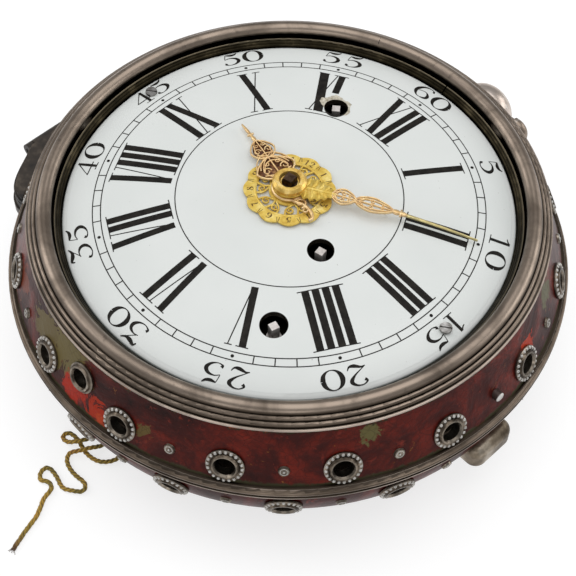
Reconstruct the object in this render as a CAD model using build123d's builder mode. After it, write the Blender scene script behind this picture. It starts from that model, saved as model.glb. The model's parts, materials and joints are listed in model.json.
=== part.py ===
from build123d import *
from math import acos, asin, atan2, cos, degrees, pi, radians, sin, sqrt, tan
import os

# Coach clock lying on its back. Millimetres, +Z out of the dial, +Y to 12 o'clock, +X to 3 o'clock.
# The origin is the centre of the flat that it rests on, straight under the middle of the dial.

os.makedirs("parts", exist_ok=True)

# Heights of the case
split_z = 26.8              # where the two halves of the case meet
front_depth = 19.2          # from that joint up to the minute track on the dial
track_z = split_z + front_depth

# Dial: enamel, domed as part of a sphere
dial_sphere_r = 273.0
dial_rise = 4.0
dial_r = 55.6
dial_t = 1.6
dial_roll_w = 1.4
dial_roll = 0.8
dial_centre_hole_r = 4.2
screw_orbit = dial_r - 4.0
screw_r = 0.9
screw_head_r = 1.5
screw_head_t = 0.6

# Radii of the case, from the dial outwards
bezel_bore_r = dial_r + 2.2
bead_width = 3.8
ridge_w = 1.05
band_top_r = bezel_bore_r + bead_width + 2 * ridge_w
band_foot_r = band_top_r + 5.5
rim_radius = band_foot_r + 1.7

# Both halves of the case: a silver shell under a lacquered leather covering, edged by a moulded rim
covering_t = 0.8
shell_t = 0.9
running = 0.05
rim_half_t = 2.2
rim_gap = 0.2
rim_bead = 0.5

# Back half: a round-shouldered bowl
wall_arc_r = 21.2
wall_centre_r = band_foot_r - wall_arc_r
wall_centre_z = split_z - 3.4
wall_turn = 70.0
lip_outer_r = rim_radius - 4.5
lip_t = 1.0
lip_h = 1.2

# Bezel
bezel_depth = 1.8
bead_crest = 2.7
bezel_lip = 0.6

# Studs on both halves
stud_count = 16
rosette_r = 4.5
rosette_t = 0.8
eyelet_r = 3.15
eyelet_proud = 1.2
sound_hole_r = 2.4
tube_r = 2.8
pin_r = 1.4
pin_proud = 0.5
front_stud_z = track_z - 12.6
grommet_z = track_z - 8.2
back_stud_z = split_z - 7.8

# Hinge at 9 o'clock: a straight barrel between two shaped leaves
hinge_x = -rim_radius - 3.6
hinge_z = split_z - 3.0
knuckle_r = 2.2
knuckle_count = 5
knuckle_length = 9.4
knuckle_gap = 0.2
knob_length = 2.0
hinge_pin_r = 1.0
pin_clearance = 0.05
leaf_clearance = 0.5
leaf_depth = 8.8
leaf_step = 0.7
leaf_end_angle = 34.6
# How far the lobe of a leaf stands out from the rim, and at what angle from 9 o'clock
leaf_curve = [
    (7.8, 18.7),
    (6.7, 20.7),
    (6.0, 23.8),
    (5.5, 27.8),
    (4.5, 31.0),
    (2.4, 33.4),
    (-1.0, leaf_end_angle),
]

# Pendant and bow at 12 o'clock
pendant_z = split_z - 4.8
neck_r = 4.4
knob_r = 8.2
knob_start = rim_radius + 0.5
knob_end = 82.0
bow_pivot_y = 79.0
bow_pivot_r = 1.2
bow_wire_r = 1.8
bow_wire_start = knob_r + 0.4
bow_half_width = 11.8
bow_drop = 17.0
bow_pin_in = 5.4

# Thumb-piece and push-button at 3 o'clock
thumb_half_width = 6.8
thumb_reach = rim_radius + 0.9
thumb_top = split_z - 7.6
thumb_height = 7.6
button_r = 1.25
button_y = 1.4
button_z = track_z - 12.0
button_proud = 1.6
tongue_t = 1.0
tongue_half_width = 3.0

# Winding holes: orbit, angle from 3 o'clock, hole radius, barrel radius, turn of the square
windings = {
    "alarm": (31.9, 113.9, 3.0, 13.5, 40.0),
    "going": (19.0, -21.4, 3.2, 9.5, 12.0),
    "strike": (37.8, -49.5, 3.3, 9.9, 75.0),
}
arbor_r = 1.8
arbor_square = 2.0
square_below_dial = 0.4

# Movement, held by the ring round the dial
ring_outer_r = bezel_bore_r - 0.5
ring_bevel_r = dial_r + 0.3
ring_inner_r = dial_r - 1.0
ring_ledge_r = dial_r - 2.0
ring_wall_r = ring_outer_r - 1.6
ring_foot_r = ring_outer_r + 4.2
ring_foot_t = 1.2
ring_rise = 1.3
ring_bevel_drop = 0.4
rim_ledge_r = ring_foot_r - 2.0
slit_width = 0.4
plate_t = 2.0
plate_radial_gap = 0.2
plate_under_dial = 0.4
plate_gap = 20.0
back_plate_r = dial_r - 5.6
pillar_orbit = back_plate_r - 4.0
pillar_angles = [20, 75, 160, 222, 285]
pillar_r = 2.2
pillar_belly_r = 3.0
barrel_clearance = 1.0
great_wheel_rim = 1.2
great_wheel_t = 1.2

# Motion work under the dial
cannon_teeth = 12
minute_wheel_teeth = 36
minute_pinion_teeth = 10
hour_wheel_teeth = 40
motion_distance = 12.0
motion_angle = 150.0
motion_gap = 0.3
lower_gear_t = 1.2
hour_wheel_lift = 2.4
hour_wheel_t = 0.8
minute_post_r = 0.8
centre_arbor_r = 1.2
cannon_r = 2.0
cannon_square = 2.8
cannon_square_h = 1.6
hour_pipe_r = 3.2

# Hands and alarm disc
alarm_disc_r = 11.3
alarm_lobes = 12
alarm_disc_z = track_z + 4.3
alarm_disc_t = 0.4
alarm_window_in = 5.0
alarm_window_out = 7.9
alarm_arms = 6
alarm_ring_w = 0.45
hour_hub_r = 4.4
hour_lobe_end = 11.0
hour_lobe_w = 10.4
hour_neck_end = 17.5
hour_neck_w = 6.2
hour_knot_r = 20.1
hour_tail = 11.3
hour_tail_rings = [(5.6, 1.4), (8.0, 1.1)]
hour_hand_reach = 24.8
hour_hand_angle = 164.8
hour_hand_z = track_z + 5.2
minute_leaf_end = 11.0
minute_leaf_w = 6.4
minute_lobe_end = 16.4
minute_neck_end = 25.9
minute_lobe_w = 4.5
minute_knot_r = 27.7
minute_hand_reach = 46.8
minute_hand_angle = 30.0
minute_hand_z = track_z + 6.3
hand_t = 0.5
strip_tail = 12.5
boss_r = 4.2
boss_top = track_z + 8.4
boss_recess_r = 2.2
square_proud = 0.7

# Bell, hammer and balance behind the movement
bell_gap = 2.0
bell_t = 1.2
bell_rim_z = split_z - 4.8
bell_post_r = 4.0
bell_nut_t = 1.6
hammer_orbit = back_plate_r - 3.0
hammer_angle = 190.0
hammer_head_angle = 215.0
hammer_head_gap = 1.0
hammer_arbor_r = 0.9
hammer_head_r = 2.2
hammer_drop = 3.0
balance_x = -20.0
balance_y = -12.0
balance_r = 13.0
balance_rim_w = 1.4
balance_t = 1.0
balance_drop = 2.0
staff_r = 0.5
cock_drop = 5.8
cock_t = 1.0
cock_r = 9.0
cock_foot_r = 4.0
cock_foot_distance = 19.5

# Pull cord at 6 o'clock
cord_r = 0.5
cord_exit_angle = 64.0
cord_slack = 0.3
exit_flange_r = 2.6
exit_flange_t = 0.7
cord_low = cord_r
cord_hump = cord_r + 1.2

# Route of the cord: out of the bowl, over itself twice beside the case, then away in slack curves
cord_route = [
    (0.0, -56.96, 5.03),
    (0.0, -59.16, cord_low),
    (4.2, -62.0, cord_low),
    (1.8, -66.7, cord_low),
    (-3.0, -67.8, cord_low),
    (-7.6, -66.4, cord_low),
    (-11.0, -66.7, cord_low),
    (-11.2, -69.0, cord_low),
    (-8.9, -69.1, cord_low),
    (-6.9, -67.6, cord_hump),
    (-5.6, -65.4, cord_hump),
    (-5.3, -62.8, cord_low),
    (-4.5, -60.3, cord_low),
    (-2.1, -60.6, cord_low),
    (-1.9, -63.3, cord_low),
    (-3.1, -66.2, cord_hump),
    (-4.4, -68.9, cord_hump),
    (-6.3, -70.6, cord_low),
    (-4.6, -72.8, cord_low),
    (-0.6, -73.6, cord_low),
    (3.6, -72.9, cord_low),
    (5.0, -75.0, cord_low),
    (2.6, -76.8, cord_low),
    (0.4, -78.2, cord_low),
    (-3.2, -76.9, cord_low),
    (-6.8, -76.7, cord_low),
    (-7.0, -79.0, cord_low),
    (-5.2, -80.8, cord_low),
    (-3.2, -79.2, cord_low),
    (-1.0, -79.9, cord_low),
    (-0.7, -83.0, cord_low),
    (2.2, -87.0, cord_low),
    (3.4, -92.0, cord_low),
    (5.3, -97.0, cord_low),
]


def polar(radius, angle):
    """Point at a radius and an angle from 3 o'clock."""
    return (radius * cos(radians(angle)), radius * sin(radians(angle)))


def dial_top(radius):
    """Height of the dial's upper surface at a radius."""
    return track_z + dial_rise - (dial_sphere_r - sqrt(dial_sphere_r**2 - radius**2))


# Shapes of the case walls, as outlines that other pieces are fitted to
base_arc_r = (wall_centre_z - wall_arc_r * sin(radians(wall_turn))) / (1 - sin(radians(wall_turn)))
shoulder_r = wall_centre_r + wall_arc_r * cos(radians(wall_turn))
base_flat_r = shoulder_r - base_arc_r * cos(radians(wall_turn))
back_rim_z = split_z - rim_half_t
band_top_z = track_z - bezel_depth
band_foot_z = split_z + rim_half_t
band_slope = (band_foot_r - band_top_r) / (band_top_z - band_foot_z)
band_tilt = degrees(atan2(band_slope, 1))


def bowl_radius(z, inset=0.0):
    """Radius of the bowl's wall at a height, inside its outer surface by inset."""
    return wall_centre_r + sqrt((wall_arc_r - inset) ** 2 - (wall_centre_z - z) ** 2)


def band_radius(z, inset=0.0):
    """Radius of the flared band at a height, inside its outer surface by inset."""
    return band_top_r + (band_top_z - z) * band_slope - inset / cos(radians(band_tilt))


def bowl_profile(inset, top_z):
    """Half section of the bowl, solid up to top_z, inside its outer surface by inset."""
    wall_r = wall_arc_r - inset
    base_r = base_arc_r - inset
    turn = radians(wall_turn)
    half = radians((90 + wall_turn) / 2)
    knee = (wall_centre_r + wall_r * cos(turn), wall_centre_z - wall_r * sin(turn))
    base_mid = (base_flat_r + base_r * cos(half), base_arc_r - base_r * sin(half))
    wall_mid = (wall_centre_r + wall_r * cos(turn / 2), wall_centre_z - wall_r * sin(turn / 2))
    brim = (bowl_radius(top_z, inset), top_z)
    with BuildLine() as outline:
        Line((0, top_z), (0, inset))
        Line((0, inset), (base_flat_r, inset))
        ThreePointArc((base_flat_r, inset), base_mid, knee)
        ThreePointArc(knee, wall_mid, brim)
        Line(brim, (0, top_z))
    make_face(outline.edges())


def stud_plane(angle, radius, z, tilt):
    """Plane on the case wall, facing outwards and tilted up by tilt."""
    out_x, out_y = polar(cos(radians(tilt)), angle)
    return Plane(
        origin=(*polar(radius, angle), z),
        x_dir=(-sin(radians(angle)), cos(radians(angle)), 0),
        z_dir=(out_x, out_y, sin(radians(tilt))),
    )


stud_step = 360 / stud_count
front_rosette_angles = [stud_step * (k + 0.5) for k in range(stud_count)]
front_pin_angles = [stud_step * k for k in range(stud_count) if stud_step * k not in (0, 270)]
back_angles = [stud_step * k / 2 for k in range(2 * stud_count)]
back_free = [angle for angle in back_angles if abs(angle - 180) > leaf_end_angle]
back_rosette_angles = [a for a in back_free if a % stud_step == 0 and a not in (0, 90)]
back_pin_angles = [a for a in back_free if a % stud_step != 0]
back_stud_tilt = -degrees(asin((wall_centre_z - back_stud_z) / wall_arc_r))
back_stud_r = bowl_radius(back_stud_z)
front_stud_r = band_radius(front_stud_z)
front_rosettes = [stud_plane(a, front_stud_r, front_stud_z, band_tilt) for a in front_rosette_angles]
back_rosettes = [stud_plane(a, back_stud_r, back_stud_z, back_stud_tilt) for a in back_rosette_angles]
front_grommet = stud_plane(270, band_radius(grommet_z), grommet_z, band_tilt)
exit_r = wall_centre_r + wall_arc_r * cos(radians(cord_exit_angle))
exit_z = wall_centre_z - wall_arc_r * sin(radians(cord_exit_angle))
cord_exit = stud_plane(270, exit_r, exit_z, -cord_exit_angle)
wall_t = covering_t + shell_t

# Back shell, with its sound holes, the hole for the cord and the one for the pendant's screw
with BuildPart() as back_shell:
    with BuildSketch(Plane.XZ):
        bowl_profile(covering_t, back_rim_z)
    revolve(axis=Axis.Z)
    with BuildSketch(Plane.XZ):
        bowl_profile(wall_t, back_rim_z)
    revolve(axis=Axis.Z, mode=Mode.SUBTRACT)
    for place in back_rosettes:
        with BuildSketch(place):
            Circle(tube_r)
        extrude(amount=-2 * wall_t, both=True, mode=Mode.SUBTRACT)
    with BuildSketch(cord_exit):
        Circle(cord_r * 3)
    extrude(amount=-2 * wall_t, both=True, mode=Mode.SUBTRACT)

# Back covering: lacquered leather over the whole bowl
with BuildPart() as back_covering:
    with BuildSketch(Plane.XZ):
        bowl_profile(0, back_rim_z)
    revolve(axis=Axis.Z)
    with BuildSketch(Plane.XZ):
        bowl_profile(covering_t, back_rim_z)
    revolve(axis=Axis.Z, mode=Mode.SUBTRACT)
    for place in back_rosettes:
        with BuildSketch(place):
            Circle(tube_r)
        extrude(amount=-2 * wall_t, both=True, mode=Mode.SUBTRACT)
    with BuildSketch(cord_exit):
        Circle(cord_r * 3)
    extrude(amount=-2 * wall_t, both=True, mode=Mode.SUBTRACT)

# Back rim: lower half of the moulded joint, with the ledge for the movement and an upstanding lip
with BuildPart() as back_rim:
    with BuildSketch(Plane.XZ):
        with BuildLine():
            Polyline(
                (rim_radius - rim_bead, split_z),
                (lip_outer_r, split_z),
                (lip_outer_r, split_z + lip_h),
                (lip_outer_r - lip_t, split_z + lip_h),
                (lip_outer_r - lip_t, split_z),
                (rim_ledge_r, split_z),
                (rim_ledge_r, back_rim_z),
                (bowl_radius(back_rim_z) + rim_bead, back_rim_z),
            )
            ThreePointArc(
                (bowl_radius(back_rim_z) + rim_bead, back_rim_z),
                (bowl_radius(back_rim_z) + rim_bead, split_z - 0.6 * rim_half_t),
                (rim_radius - rim_bead, split_z - rim_half_t / 2),
            )
            ThreePointArc(
                (rim_radius - rim_bead, split_z - rim_half_t / 2),
                (rim_radius, split_z - rim_half_t / 4),
                (rim_radius - rim_bead, split_z),
            )
        make_face()
    revolve(axis=Axis.Z)

# Front rim: upper half of the joint, with a small bead under the band and a large one at the joint
front_rim_r = lip_outer_r + rim_bead
upper_bead_end = (band_foot_r + rim_bead, band_foot_z - rim_bead)
with BuildPart() as front_rim:
    with BuildSketch(Plane.XZ):
        with BuildLine():
            Polyline(
                (rim_radius - rim_bead, split_z + rim_gap),
                (front_rim_r, split_z + rim_gap),
                (front_rim_r, band_foot_z),
                (band_foot_r + rim_bead, band_foot_z),
            )
            ThreePointArc(
                (band_foot_r + rim_bead, band_foot_z),
                (band_foot_r + 1.5 * rim_bead, band_foot_z - 0.4 * rim_bead),
                upper_bead_end,
            )
            ThreePointArc(
                upper_bead_end,
                (band_foot_r + rim_bead + 0.2, split_z + 0.56 * rim_half_t),
                (rim_radius - rim_bead, split_z + rim_half_t / 2),
            )
            ThreePointArc(
                (rim_radius - rim_bead, split_z + rim_half_t / 2),
                (rim_radius, split_z + rim_half_t / 4 + rim_gap / 2),
                (rim_radius - rim_bead, split_z + rim_gap),
            )
        make_face()
    revolve(axis=Axis.Z)


def band_ring(inner_inset, outer_inset):
    """Half section of a layer of the flared band."""
    with BuildLine() as outline:
        Polyline(
            (band_radius(band_foot_z, inner_inset), band_foot_z),
            (band_radius(band_foot_z, outer_inset), band_foot_z),
            (band_radius(band_top_z, outer_inset), band_top_z),
            (band_radius(band_top_z, inner_inset), band_top_z),
            close=True,
        )
    make_face(outline.edges())


def band_holes():
    """Sound holes, the grommet's hole and the button's hole, through whatever band is being built."""
    for place in front_rosettes + [front_grommet]:
        with BuildSketch(place) as hole:
            Circle(tube_r)
        extrude(hole.sketch, amount=-2 * wall_t, both=True, mode=Mode.SUBTRACT)
    with BuildSketch(Plane.YZ) as hole:
        with Locations((button_y, button_z)):
            Circle(button_r + running)
    extrude(hole.sketch, amount=rim_radius, mode=Mode.SUBTRACT)


# Front shell and its covering
with BuildPart() as front_shell:
    with BuildSketch(Plane.XZ):
        band_ring(wall_t, covering_t)
    revolve(axis=Axis.Z)
    band_holes()

with BuildPart() as front_covering:
    with BuildSketch(Plane.XZ):
        band_ring(covering_t, 0)
    revolve(axis=Axis.Z)
    band_holes()

# Bezel: a round bead at the opening, two ridges and a thin lip over the covering
bead_outer_r = bezel_bore_r + bead_width
ridge_fall = 0.85
bead_side_z = track_z + 1.1
ridge_z = track_z + 1.05
lip_z = track_z - 0.75
bezel_under_z = track_z + 0.8
with BuildPart() as bezel:
    with BuildSketch(Plane.XZ):
        with BuildLine():
            Line((bezel_bore_r, bezel_under_z), (bezel_bore_r, bead_side_z))
            bead = ThreePointArc(
                (bezel_bore_r, bead_side_z),
                (bezel_bore_r + 0.45 * bead_width, track_z + bead_crest),
                (bead_outer_r, ridge_z + 0.3),
            )
            last = bead @ 1
            for k in range(2):
                start = (bead_outer_r + k * ridge_w, ridge_z - k * ridge_fall)
                middle = (start[0] + 0.55 * ridge_w, start[1] + 0.1)
                end = (start[0] + ridge_w, start[1] - 0.65)
                Line(last, start)
                ridge = ThreePointArc(start, middle, end)
                last = ridge @ 1
            Polyline(
                last,
                (band_top_r, lip_z),
                (band_top_r + bezel_lip, lip_z),
                (band_top_r + bezel_lip, lip_z - 0.6),
                (band_top_r, band_top_z),
                (band_radius(band_top_z, wall_t) - 0.4, band_top_z),
                (bezel_bore_r + 0.6, bezel_under_z),
                (bezel_bore_r, bezel_under_z),
            )
        make_face()
    revolve(axis=Axis.Z)


def rosette_profile(flange_r):
    """Half section of an eyelet with a flange, its tube reaching back through the wall."""
    with BuildLine() as outline:
        Polyline(
            (sound_hole_r, -wall_t),
            (tube_r, -wall_t),
            (tube_r, 0),
            (flange_r, 0),
            (flange_r, rosette_t * 0.6),
            (flange_r - 0.5, rosette_t),
            (eyelet_r + 0.3, rosette_t * 0.75),
            (eyelet_r, eyelet_proud),
            (sound_hole_r + 0.3, eyelet_proud),
            (sound_hole_r, eyelet_proud - 0.5),
            close=True,
        )
    make_face(outline.edges())


def upright(place):
    """Plane that holds a stud's half section: across the wall, its Y axis pointing outwards."""
    return Plane(origin=place.origin, x_dir=place.x_dir, z_dir=place.x_dir.cross(place.z_dir))


def revolve_studs(places, flange_r):
    """One eyelet at each place."""
    for place in places:
        with BuildSketch(upright(place)) as section:
            rosette_profile(flange_r)
        revolve(section.sketch, axis=Axis(place.origin, place.z_dir))


def dome_pins(places):
    """One small round-headed pin at each place."""
    for place in places:
        with BuildSketch(place) as head:
            Circle(pin_r)
        extrude(head.sketch, amount=pin_proud, taper=20)


with BuildPart() as front_eyelets:
    revolve_studs(front_rosettes, rosette_r)

with BuildPart() as back_eyelets:
    revolve_studs(back_rosettes, rosette_r)

with BuildPart() as band_grommet:
    revolve_studs([front_grommet], rosette_r - 0.6)

with BuildPart() as front_pins:
    dome_pins([stud_plane(a, front_stud_r, front_stud_z, band_tilt) for a in front_pin_angles])

with BuildPart() as back_pins:
    dome_pins([stud_plane(a, back_stud_r, back_stud_z, back_stud_tilt) for a in back_pin_angles])

# Envelopes of the two halves, for fitting what is soldered to their outsides
with BuildPart() as back_envelope:
    with BuildSketch(Plane.XZ):
        bowl_profile(0, back_rim_z)
    revolve(axis=Axis.Z)
    add(back_rim.part)
    with BuildSketch(Plane.XY.offset(back_rim_z)):
        Circle(rim_ledge_r + 1)
    extrude(amount=rim_half_t)

with BuildPart() as front_envelope:
    with BuildSketch(Plane.XY.offset(split_z)):
        Circle(rim_radius)
    extrude(amount=rim_half_t)


barrel_span = knuckle_count * knuckle_length + (knuckle_count - 1) * knuckle_gap
knuckle_starts = [-barrel_span / 2 + k * (knuckle_length + knuckle_gap) for k in range(knuckle_count)]
knob_starts = [-barrel_span / 2 - knuckle_gap - knob_length, barrel_span / 2 + knuckle_gap]
leaf_edge_x = hinge_x + knuckle_r + leaf_clearance
apron_z = hinge_z - knuckle_r - leaf_clearance
hinge_axis_plane = Plane(origin=(hinge_x, 0, hinge_z), x_dir=(1, 0, 0), z_dir=(0, -1, 0))


def leaf_plan(inset, beside_barrel):
    """Plan of a leaf: straight along the barrel, with a lobe on the rim at each end."""
    upper = [polar(rim_radius + grow - inset, 180 - angle) for grow, angle in leaf_curve]
    lower = [(x, -y) for x, y in upper]
    outer_x = hinge_x - knuckle_r + inset
    corner = (outer_x, barrel_span / 2)
    with BuildLine() as outline:
        Line((outer_x, -barrel_span / 2), corner)
        Line(corner, upper[0])
        Spline(*upper)
        Line(upper[-1], lower[-1])
        Spline(*reversed(lower))
        Line(lower[0], (outer_x, -barrel_span / 2))
    make_face(outline.edges())
    if beside_barrel:
        slot_length = barrel_span + 2 * (knuckle_gap + knob_length + leaf_clearance)
        with Locations((leaf_edge_x - rim_radius / 2, 0)):
            Rectangle(rim_radius, slot_length, mode=Mode.SUBTRACT)


def knuckle(start, length):
    """Stretch of the hinge barrel."""
    with BuildSketch(hinge_axis_plane.offset(-start)) as section:
        Circle(knuckle_r)
    extrude(section.sketch, amount=-length)


def pin_bore():
    """Bore for the hinge pin, along the whole barrel."""
    with BuildSketch(hinge_axis_plane.offset(-barrel_span)) as section:
        Circle(hinge_pin_r + pin_clearance)
    extrude(section.sketch, amount=2 * barrel_span, mode=Mode.SUBTRACT)


# Back leaf: an apron under the barrel, then two steps beside it, and webs up to its knuckles
step_z = (apron_z + split_z - rim_gap) / 2
back_barrel = [(start, knuckle_length) for start in knuckle_starts[0::2]]
back_barrel += [(start, knob_length) for start in knob_starts]
web_x = (hinge_x + leaf_edge_x) / 2
web_z = (apron_z + hinge_z) / 2
web_sink = 0.6
with BuildPart() as hinge_back_leaf:
    for low, high, inset, beside in [
        (split_z - leaf_depth, split_z - leaf_depth + 1.2, 2 * leaf_step, False),
        (split_z - leaf_depth + 1.2, apron_z, leaf_step, False),
        (apron_z, step_z, 0, True),
        (step_z, split_z - rim_gap, leaf_step, True),
    ]:
        with BuildSketch(Plane.XY.offset(low)):
            leaf_plan(inset, beside)
        extrude(amount=high - low)
    for start, length in back_barrel:
        knuckle(start, length)
        with Locations((web_x + web_sink / 2, start + length / 2, web_z - web_sink / 2)):
            Box(leaf_edge_x - hinge_x + web_sink, length, hinge_z - apron_z + web_sink)
    pin_bore()
    add(back_envelope.part, mode=Mode.SUBTRACT)

# Front leaf, with a slanting web down to each of its knuckles
web_edge_x = leaf_edge_x - 0.5
with BuildPart() as hinge_front_leaf:
    for low, high, inset in [
        (split_z + rim_gap, split_z + rim_half_t / 2, leaf_step),
        (split_z + rim_half_t / 2, band_foot_z, 2 * leaf_step),
    ]:
        with BuildSketch(Plane.XY.offset(low)):
            leaf_plan(inset, True)
        extrude(amount=high - low)
    for start in knuckle_starts[1::2]:
        knuckle(start, knuckle_length)
        with BuildSketch(Plane(origin=(0, start, 0), x_dir=(1, 0, 0), z_dir=(0, -1, 0))) as section:
            with BuildLine():
                Polyline(
                    (leaf_edge_x + 1.8, band_foot_z),
                    (leaf_edge_x, band_foot_z),
                    (hinge_x - 0.7 * knuckle_r, hinge_z + 0.6 * knuckle_r),
                    (hinge_x, hinge_z),
                    (web_edge_x, hinge_z + 0.3 * knuckle_r),
                    (web_edge_x, split_z + rim_gap),
                    (leaf_edge_x + 1.8, split_z + rim_gap),
                    close=True,
                )
            make_face()
        extrude(amount=-knuckle_length)
    pin_bore()
    add(front_envelope.part, mode=Mode.SUBTRACT)

with BuildPart() as hinge_pin:
    with BuildSketch(hinge_axis_plane.offset(-barrel_span / 2 - knob_length)):
        Circle(hinge_pin_r)
    extrude(amount=barrel_span + 2 * knob_length)

# Pendant at 12 o'clock, turned about an axis along +Y
with BuildPart() as pendant:
    with BuildSketch(Plane.YZ):
        with BuildLine():
            Polyline(
                (wall_centre_r, pendant_z),
                (wall_centre_r, pendant_z + neck_r),
                (knob_start, pendant_z + neck_r),
            )
            ThreePointArc(
                (knob_start, pendant_z + neck_r),
                ((knob_start + knob_end) / 2 - 0.8, pendant_z + knob_r),
                (knob_end, pendant_z + 0.4 * neck_r),
            )
            Polyline(
                (knob_end, pendant_z + 0.4 * neck_r),
                (knob_end, pendant_z),
                (wall_centre_r, pendant_z),
            )
        make_face()
    revolve(axis=Axis((0, 0, pendant_z), (0, 1, 0)))
    add(back_envelope.part, mode=Mode.SUBTRACT)
    with BuildSketch(Plane.YZ.offset(-knob_r)):
        with Locations((bow_pivot_y, pendant_z)):
            Circle(bow_pivot_r + pin_clearance)
    extrude(amount=2 * knob_r, mode=Mode.SUBTRACT)

# Bow, hanging from the pendant: a bent wire whose reduced ends turn in the knob
with BuildPart() as bow:
    with BuildLine() as bow_line:
        FilletPolyline(
            (-bow_wire_start, bow_pivot_y, pendant_z),
            (-bow_half_width, bow_pivot_y, pendant_z),
            (-bow_half_width, bow_pivot_y, pendant_z - bow_drop),
            (bow_half_width, bow_pivot_y, pendant_z - bow_drop),
            (bow_half_width, bow_pivot_y, pendant_z),
            (bow_wire_start, bow_pivot_y, pendant_z),
            radius=[2.2, 7.5, 7.5, 2.2],
        )
    with BuildSketch(Plane(origin=(-bow_wire_start, bow_pivot_y, pendant_z), z_dir=(-1, 0, 0))):
        Circle(bow_wire_r)
    sweep(path=bow_line.wires()[0])
    for side in (-1, 1):
        root = (side * (bow_wire_start + 0.5), bow_pivot_y, pendant_z)
        with BuildSketch(Plane(origin=root, z_dir=(-side, 0, 0))):
            Circle(bow_pivot_r)
        extrude(amount=bow_wire_start + 0.5 - bow_pin_in)

# Thumb-piece at 3 o'clock, soldered under the back rim
with BuildPart() as thumb_piece:
    with BuildSketch(Plane.XY.offset(thumb_top - thumb_height)):
        with Locations(((wall_centre_r + thumb_reach) / 2, 0)):
            RectangleRounded(thumb_reach - wall_centre_r, 2 * thumb_half_width, 3.0)
    extrude(amount=thumb_height)
    fillet(thumb_piece.faces().sort_by(Axis.Z)[-1].edges(), 2.4)
    fillet(thumb_piece.faces().sort_by(Axis.Z)[0].edges(), 2.4)
    add(back_envelope.part, mode=Mode.SUBTRACT)

# Push-button at 3 o'clock in the band, with the tongue that it carries inside
button_out_x = band_radius(button_z) + button_proud
tongue_low_z = split_z + 0.6
tongue_top_z = button_z + button_r + 0.4
tongue_x = ring_foot_r + 1.9
with BuildPart() as push_button:
    with BuildSketch(Plane.YZ.offset(tongue_x + tongue_t)):
        with Locations((button_y, button_z)):
            Circle(button_r)
    extrude(amount=button_out_x - tongue_x - tongue_t)
    fillet(push_button.faces().sort_by(Axis.X)[-1].edges(), 0.4)

with BuildPart() as latch_tongue:
    with BuildSketch(Plane.YZ.offset(tongue_x)):
        with Locations((0, (tongue_low_z + tongue_top_z) / 2)):
            Rectangle(2 * tongue_half_width, tongue_top_z - tongue_low_z)
    extrude(amount=tongue_t)
    fillet(latch_tongue.edges().filter_by(Axis.X), 0.8)

catch_x = tongue_x + tongue_t + 0.3
with BuildPart() as latch_catch:
    with BuildSketch(Plane.XY.offset(split_z)):
        with Locations(((catch_x + lip_outer_r - lip_t) / 2 - 0.1, 0)):
            Rectangle(lip_outer_r - lip_t - catch_x - 0.2, 2 * tongue_half_width)
    extrude(amount=lip_h + 1)

# Dial ring: the brass edge of the movement, slit at 12 o'clock
edge_under_z = dial_top(dial_r) - dial_t
plate_top_z = edge_under_z - plate_under_dial
front_plate_z = plate_top_z - plate_t
ring_top = dial_top(dial_r) + ring_rise
ring_bevel_z = dial_top(dial_r) - ring_bevel_drop
bevel_step = (ring_outer_r - ring_bevel_r) / 3
bevel_rise = (ring_top - ring_bevel_z) / 3
with BuildPart() as dial_ring:
    with BuildSketch(Plane.XZ):
        with BuildLine():
            last = (ring_bevel_r, ring_bevel_z)
            for k in range(3):
                end = (ring_bevel_r + (k + 1) * bevel_step, ring_bevel_z + (k + 1) * bevel_rise)
                ThreePointArc(last, (last[0] + 0.3 * bevel_step, last[1] + 0.7 * bevel_rise), end)
                last = end
            Polyline(
                last,
                (ring_outer_r, split_z + ring_foot_t),
                (ring_foot_r, split_z + ring_foot_t),
                (ring_foot_r, split_z),
                (ring_wall_r, split_z),
                (ring_wall_r, front_plate_z - 0.4),
                (ring_inner_r, front_plate_z - 0.4),
                (ring_inner_r, plate_top_z),
                (ring_ledge_r, plate_top_z),
                (ring_ledge_r, edge_under_z),
                (ring_bevel_r, edge_under_z),
                (ring_bevel_r, ring_bevel_z),
            )
        make_face()
    revolve(axis=Axis.Z)
    with Locations((0, ring_outer_r, ring_top)):
        Box(slit_width, 6, 6, mode=Mode.SUBTRACT)

# Dial
with BuildPart() as dial:
    with BuildSketch(Plane.XZ):
        middle_r = (dial_centre_hole_r + dial_r) / 2
        roll_start_r = dial_r - dial_roll_w
        with BuildLine():
            ThreePointArc(
                (dial_centre_hole_r, dial_top(dial_centre_hole_r)),
                (middle_r, dial_top(middle_r)),
                (roll_start_r, dial_top(roll_start_r)),
            )
            ThreePointArc(
                (roll_start_r, dial_top(roll_start_r)),
                (dial_r - 0.35 * dial_roll_w, dial_top(dial_r) - 0.25 * dial_roll),
                (dial_r, dial_top(dial_r) - dial_roll),
            )
            Line((dial_r, dial_top(dial_r) - dial_roll), (dial_r, edge_under_z))
            ThreePointArc(
                (dial_r, edge_under_z),
                (middle_r, dial_top(middle_r) - dial_t),
                (dial_centre_hole_r, dial_top(dial_centre_hole_r) - dial_t),
            )
            Line(
                (dial_centre_hole_r, dial_top(dial_centre_hole_r) - dial_t),
                (dial_centre_hole_r, dial_top(dial_centre_hole_r)),
            )
        make_face()
    revolve(axis=Axis.Z)
    for orbit, angle, hole_r, barrel_r, turn in windings.values():
        with BuildSketch(Plane.XY.offset(front_plate_z)):
            with Locations(polar(orbit, angle)):
                Circle(hole_r)
        extrude(amount=front_depth, mode=Mode.SUBTRACT)
    with BuildSketch(Plane.XY.offset(front_plate_z)):
        with Locations((screw_orbit, 0), (-screw_orbit, 0)):
            Circle(screw_r + running)
    extrude(amount=front_depth, mode=Mode.SUBTRACT)

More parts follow.
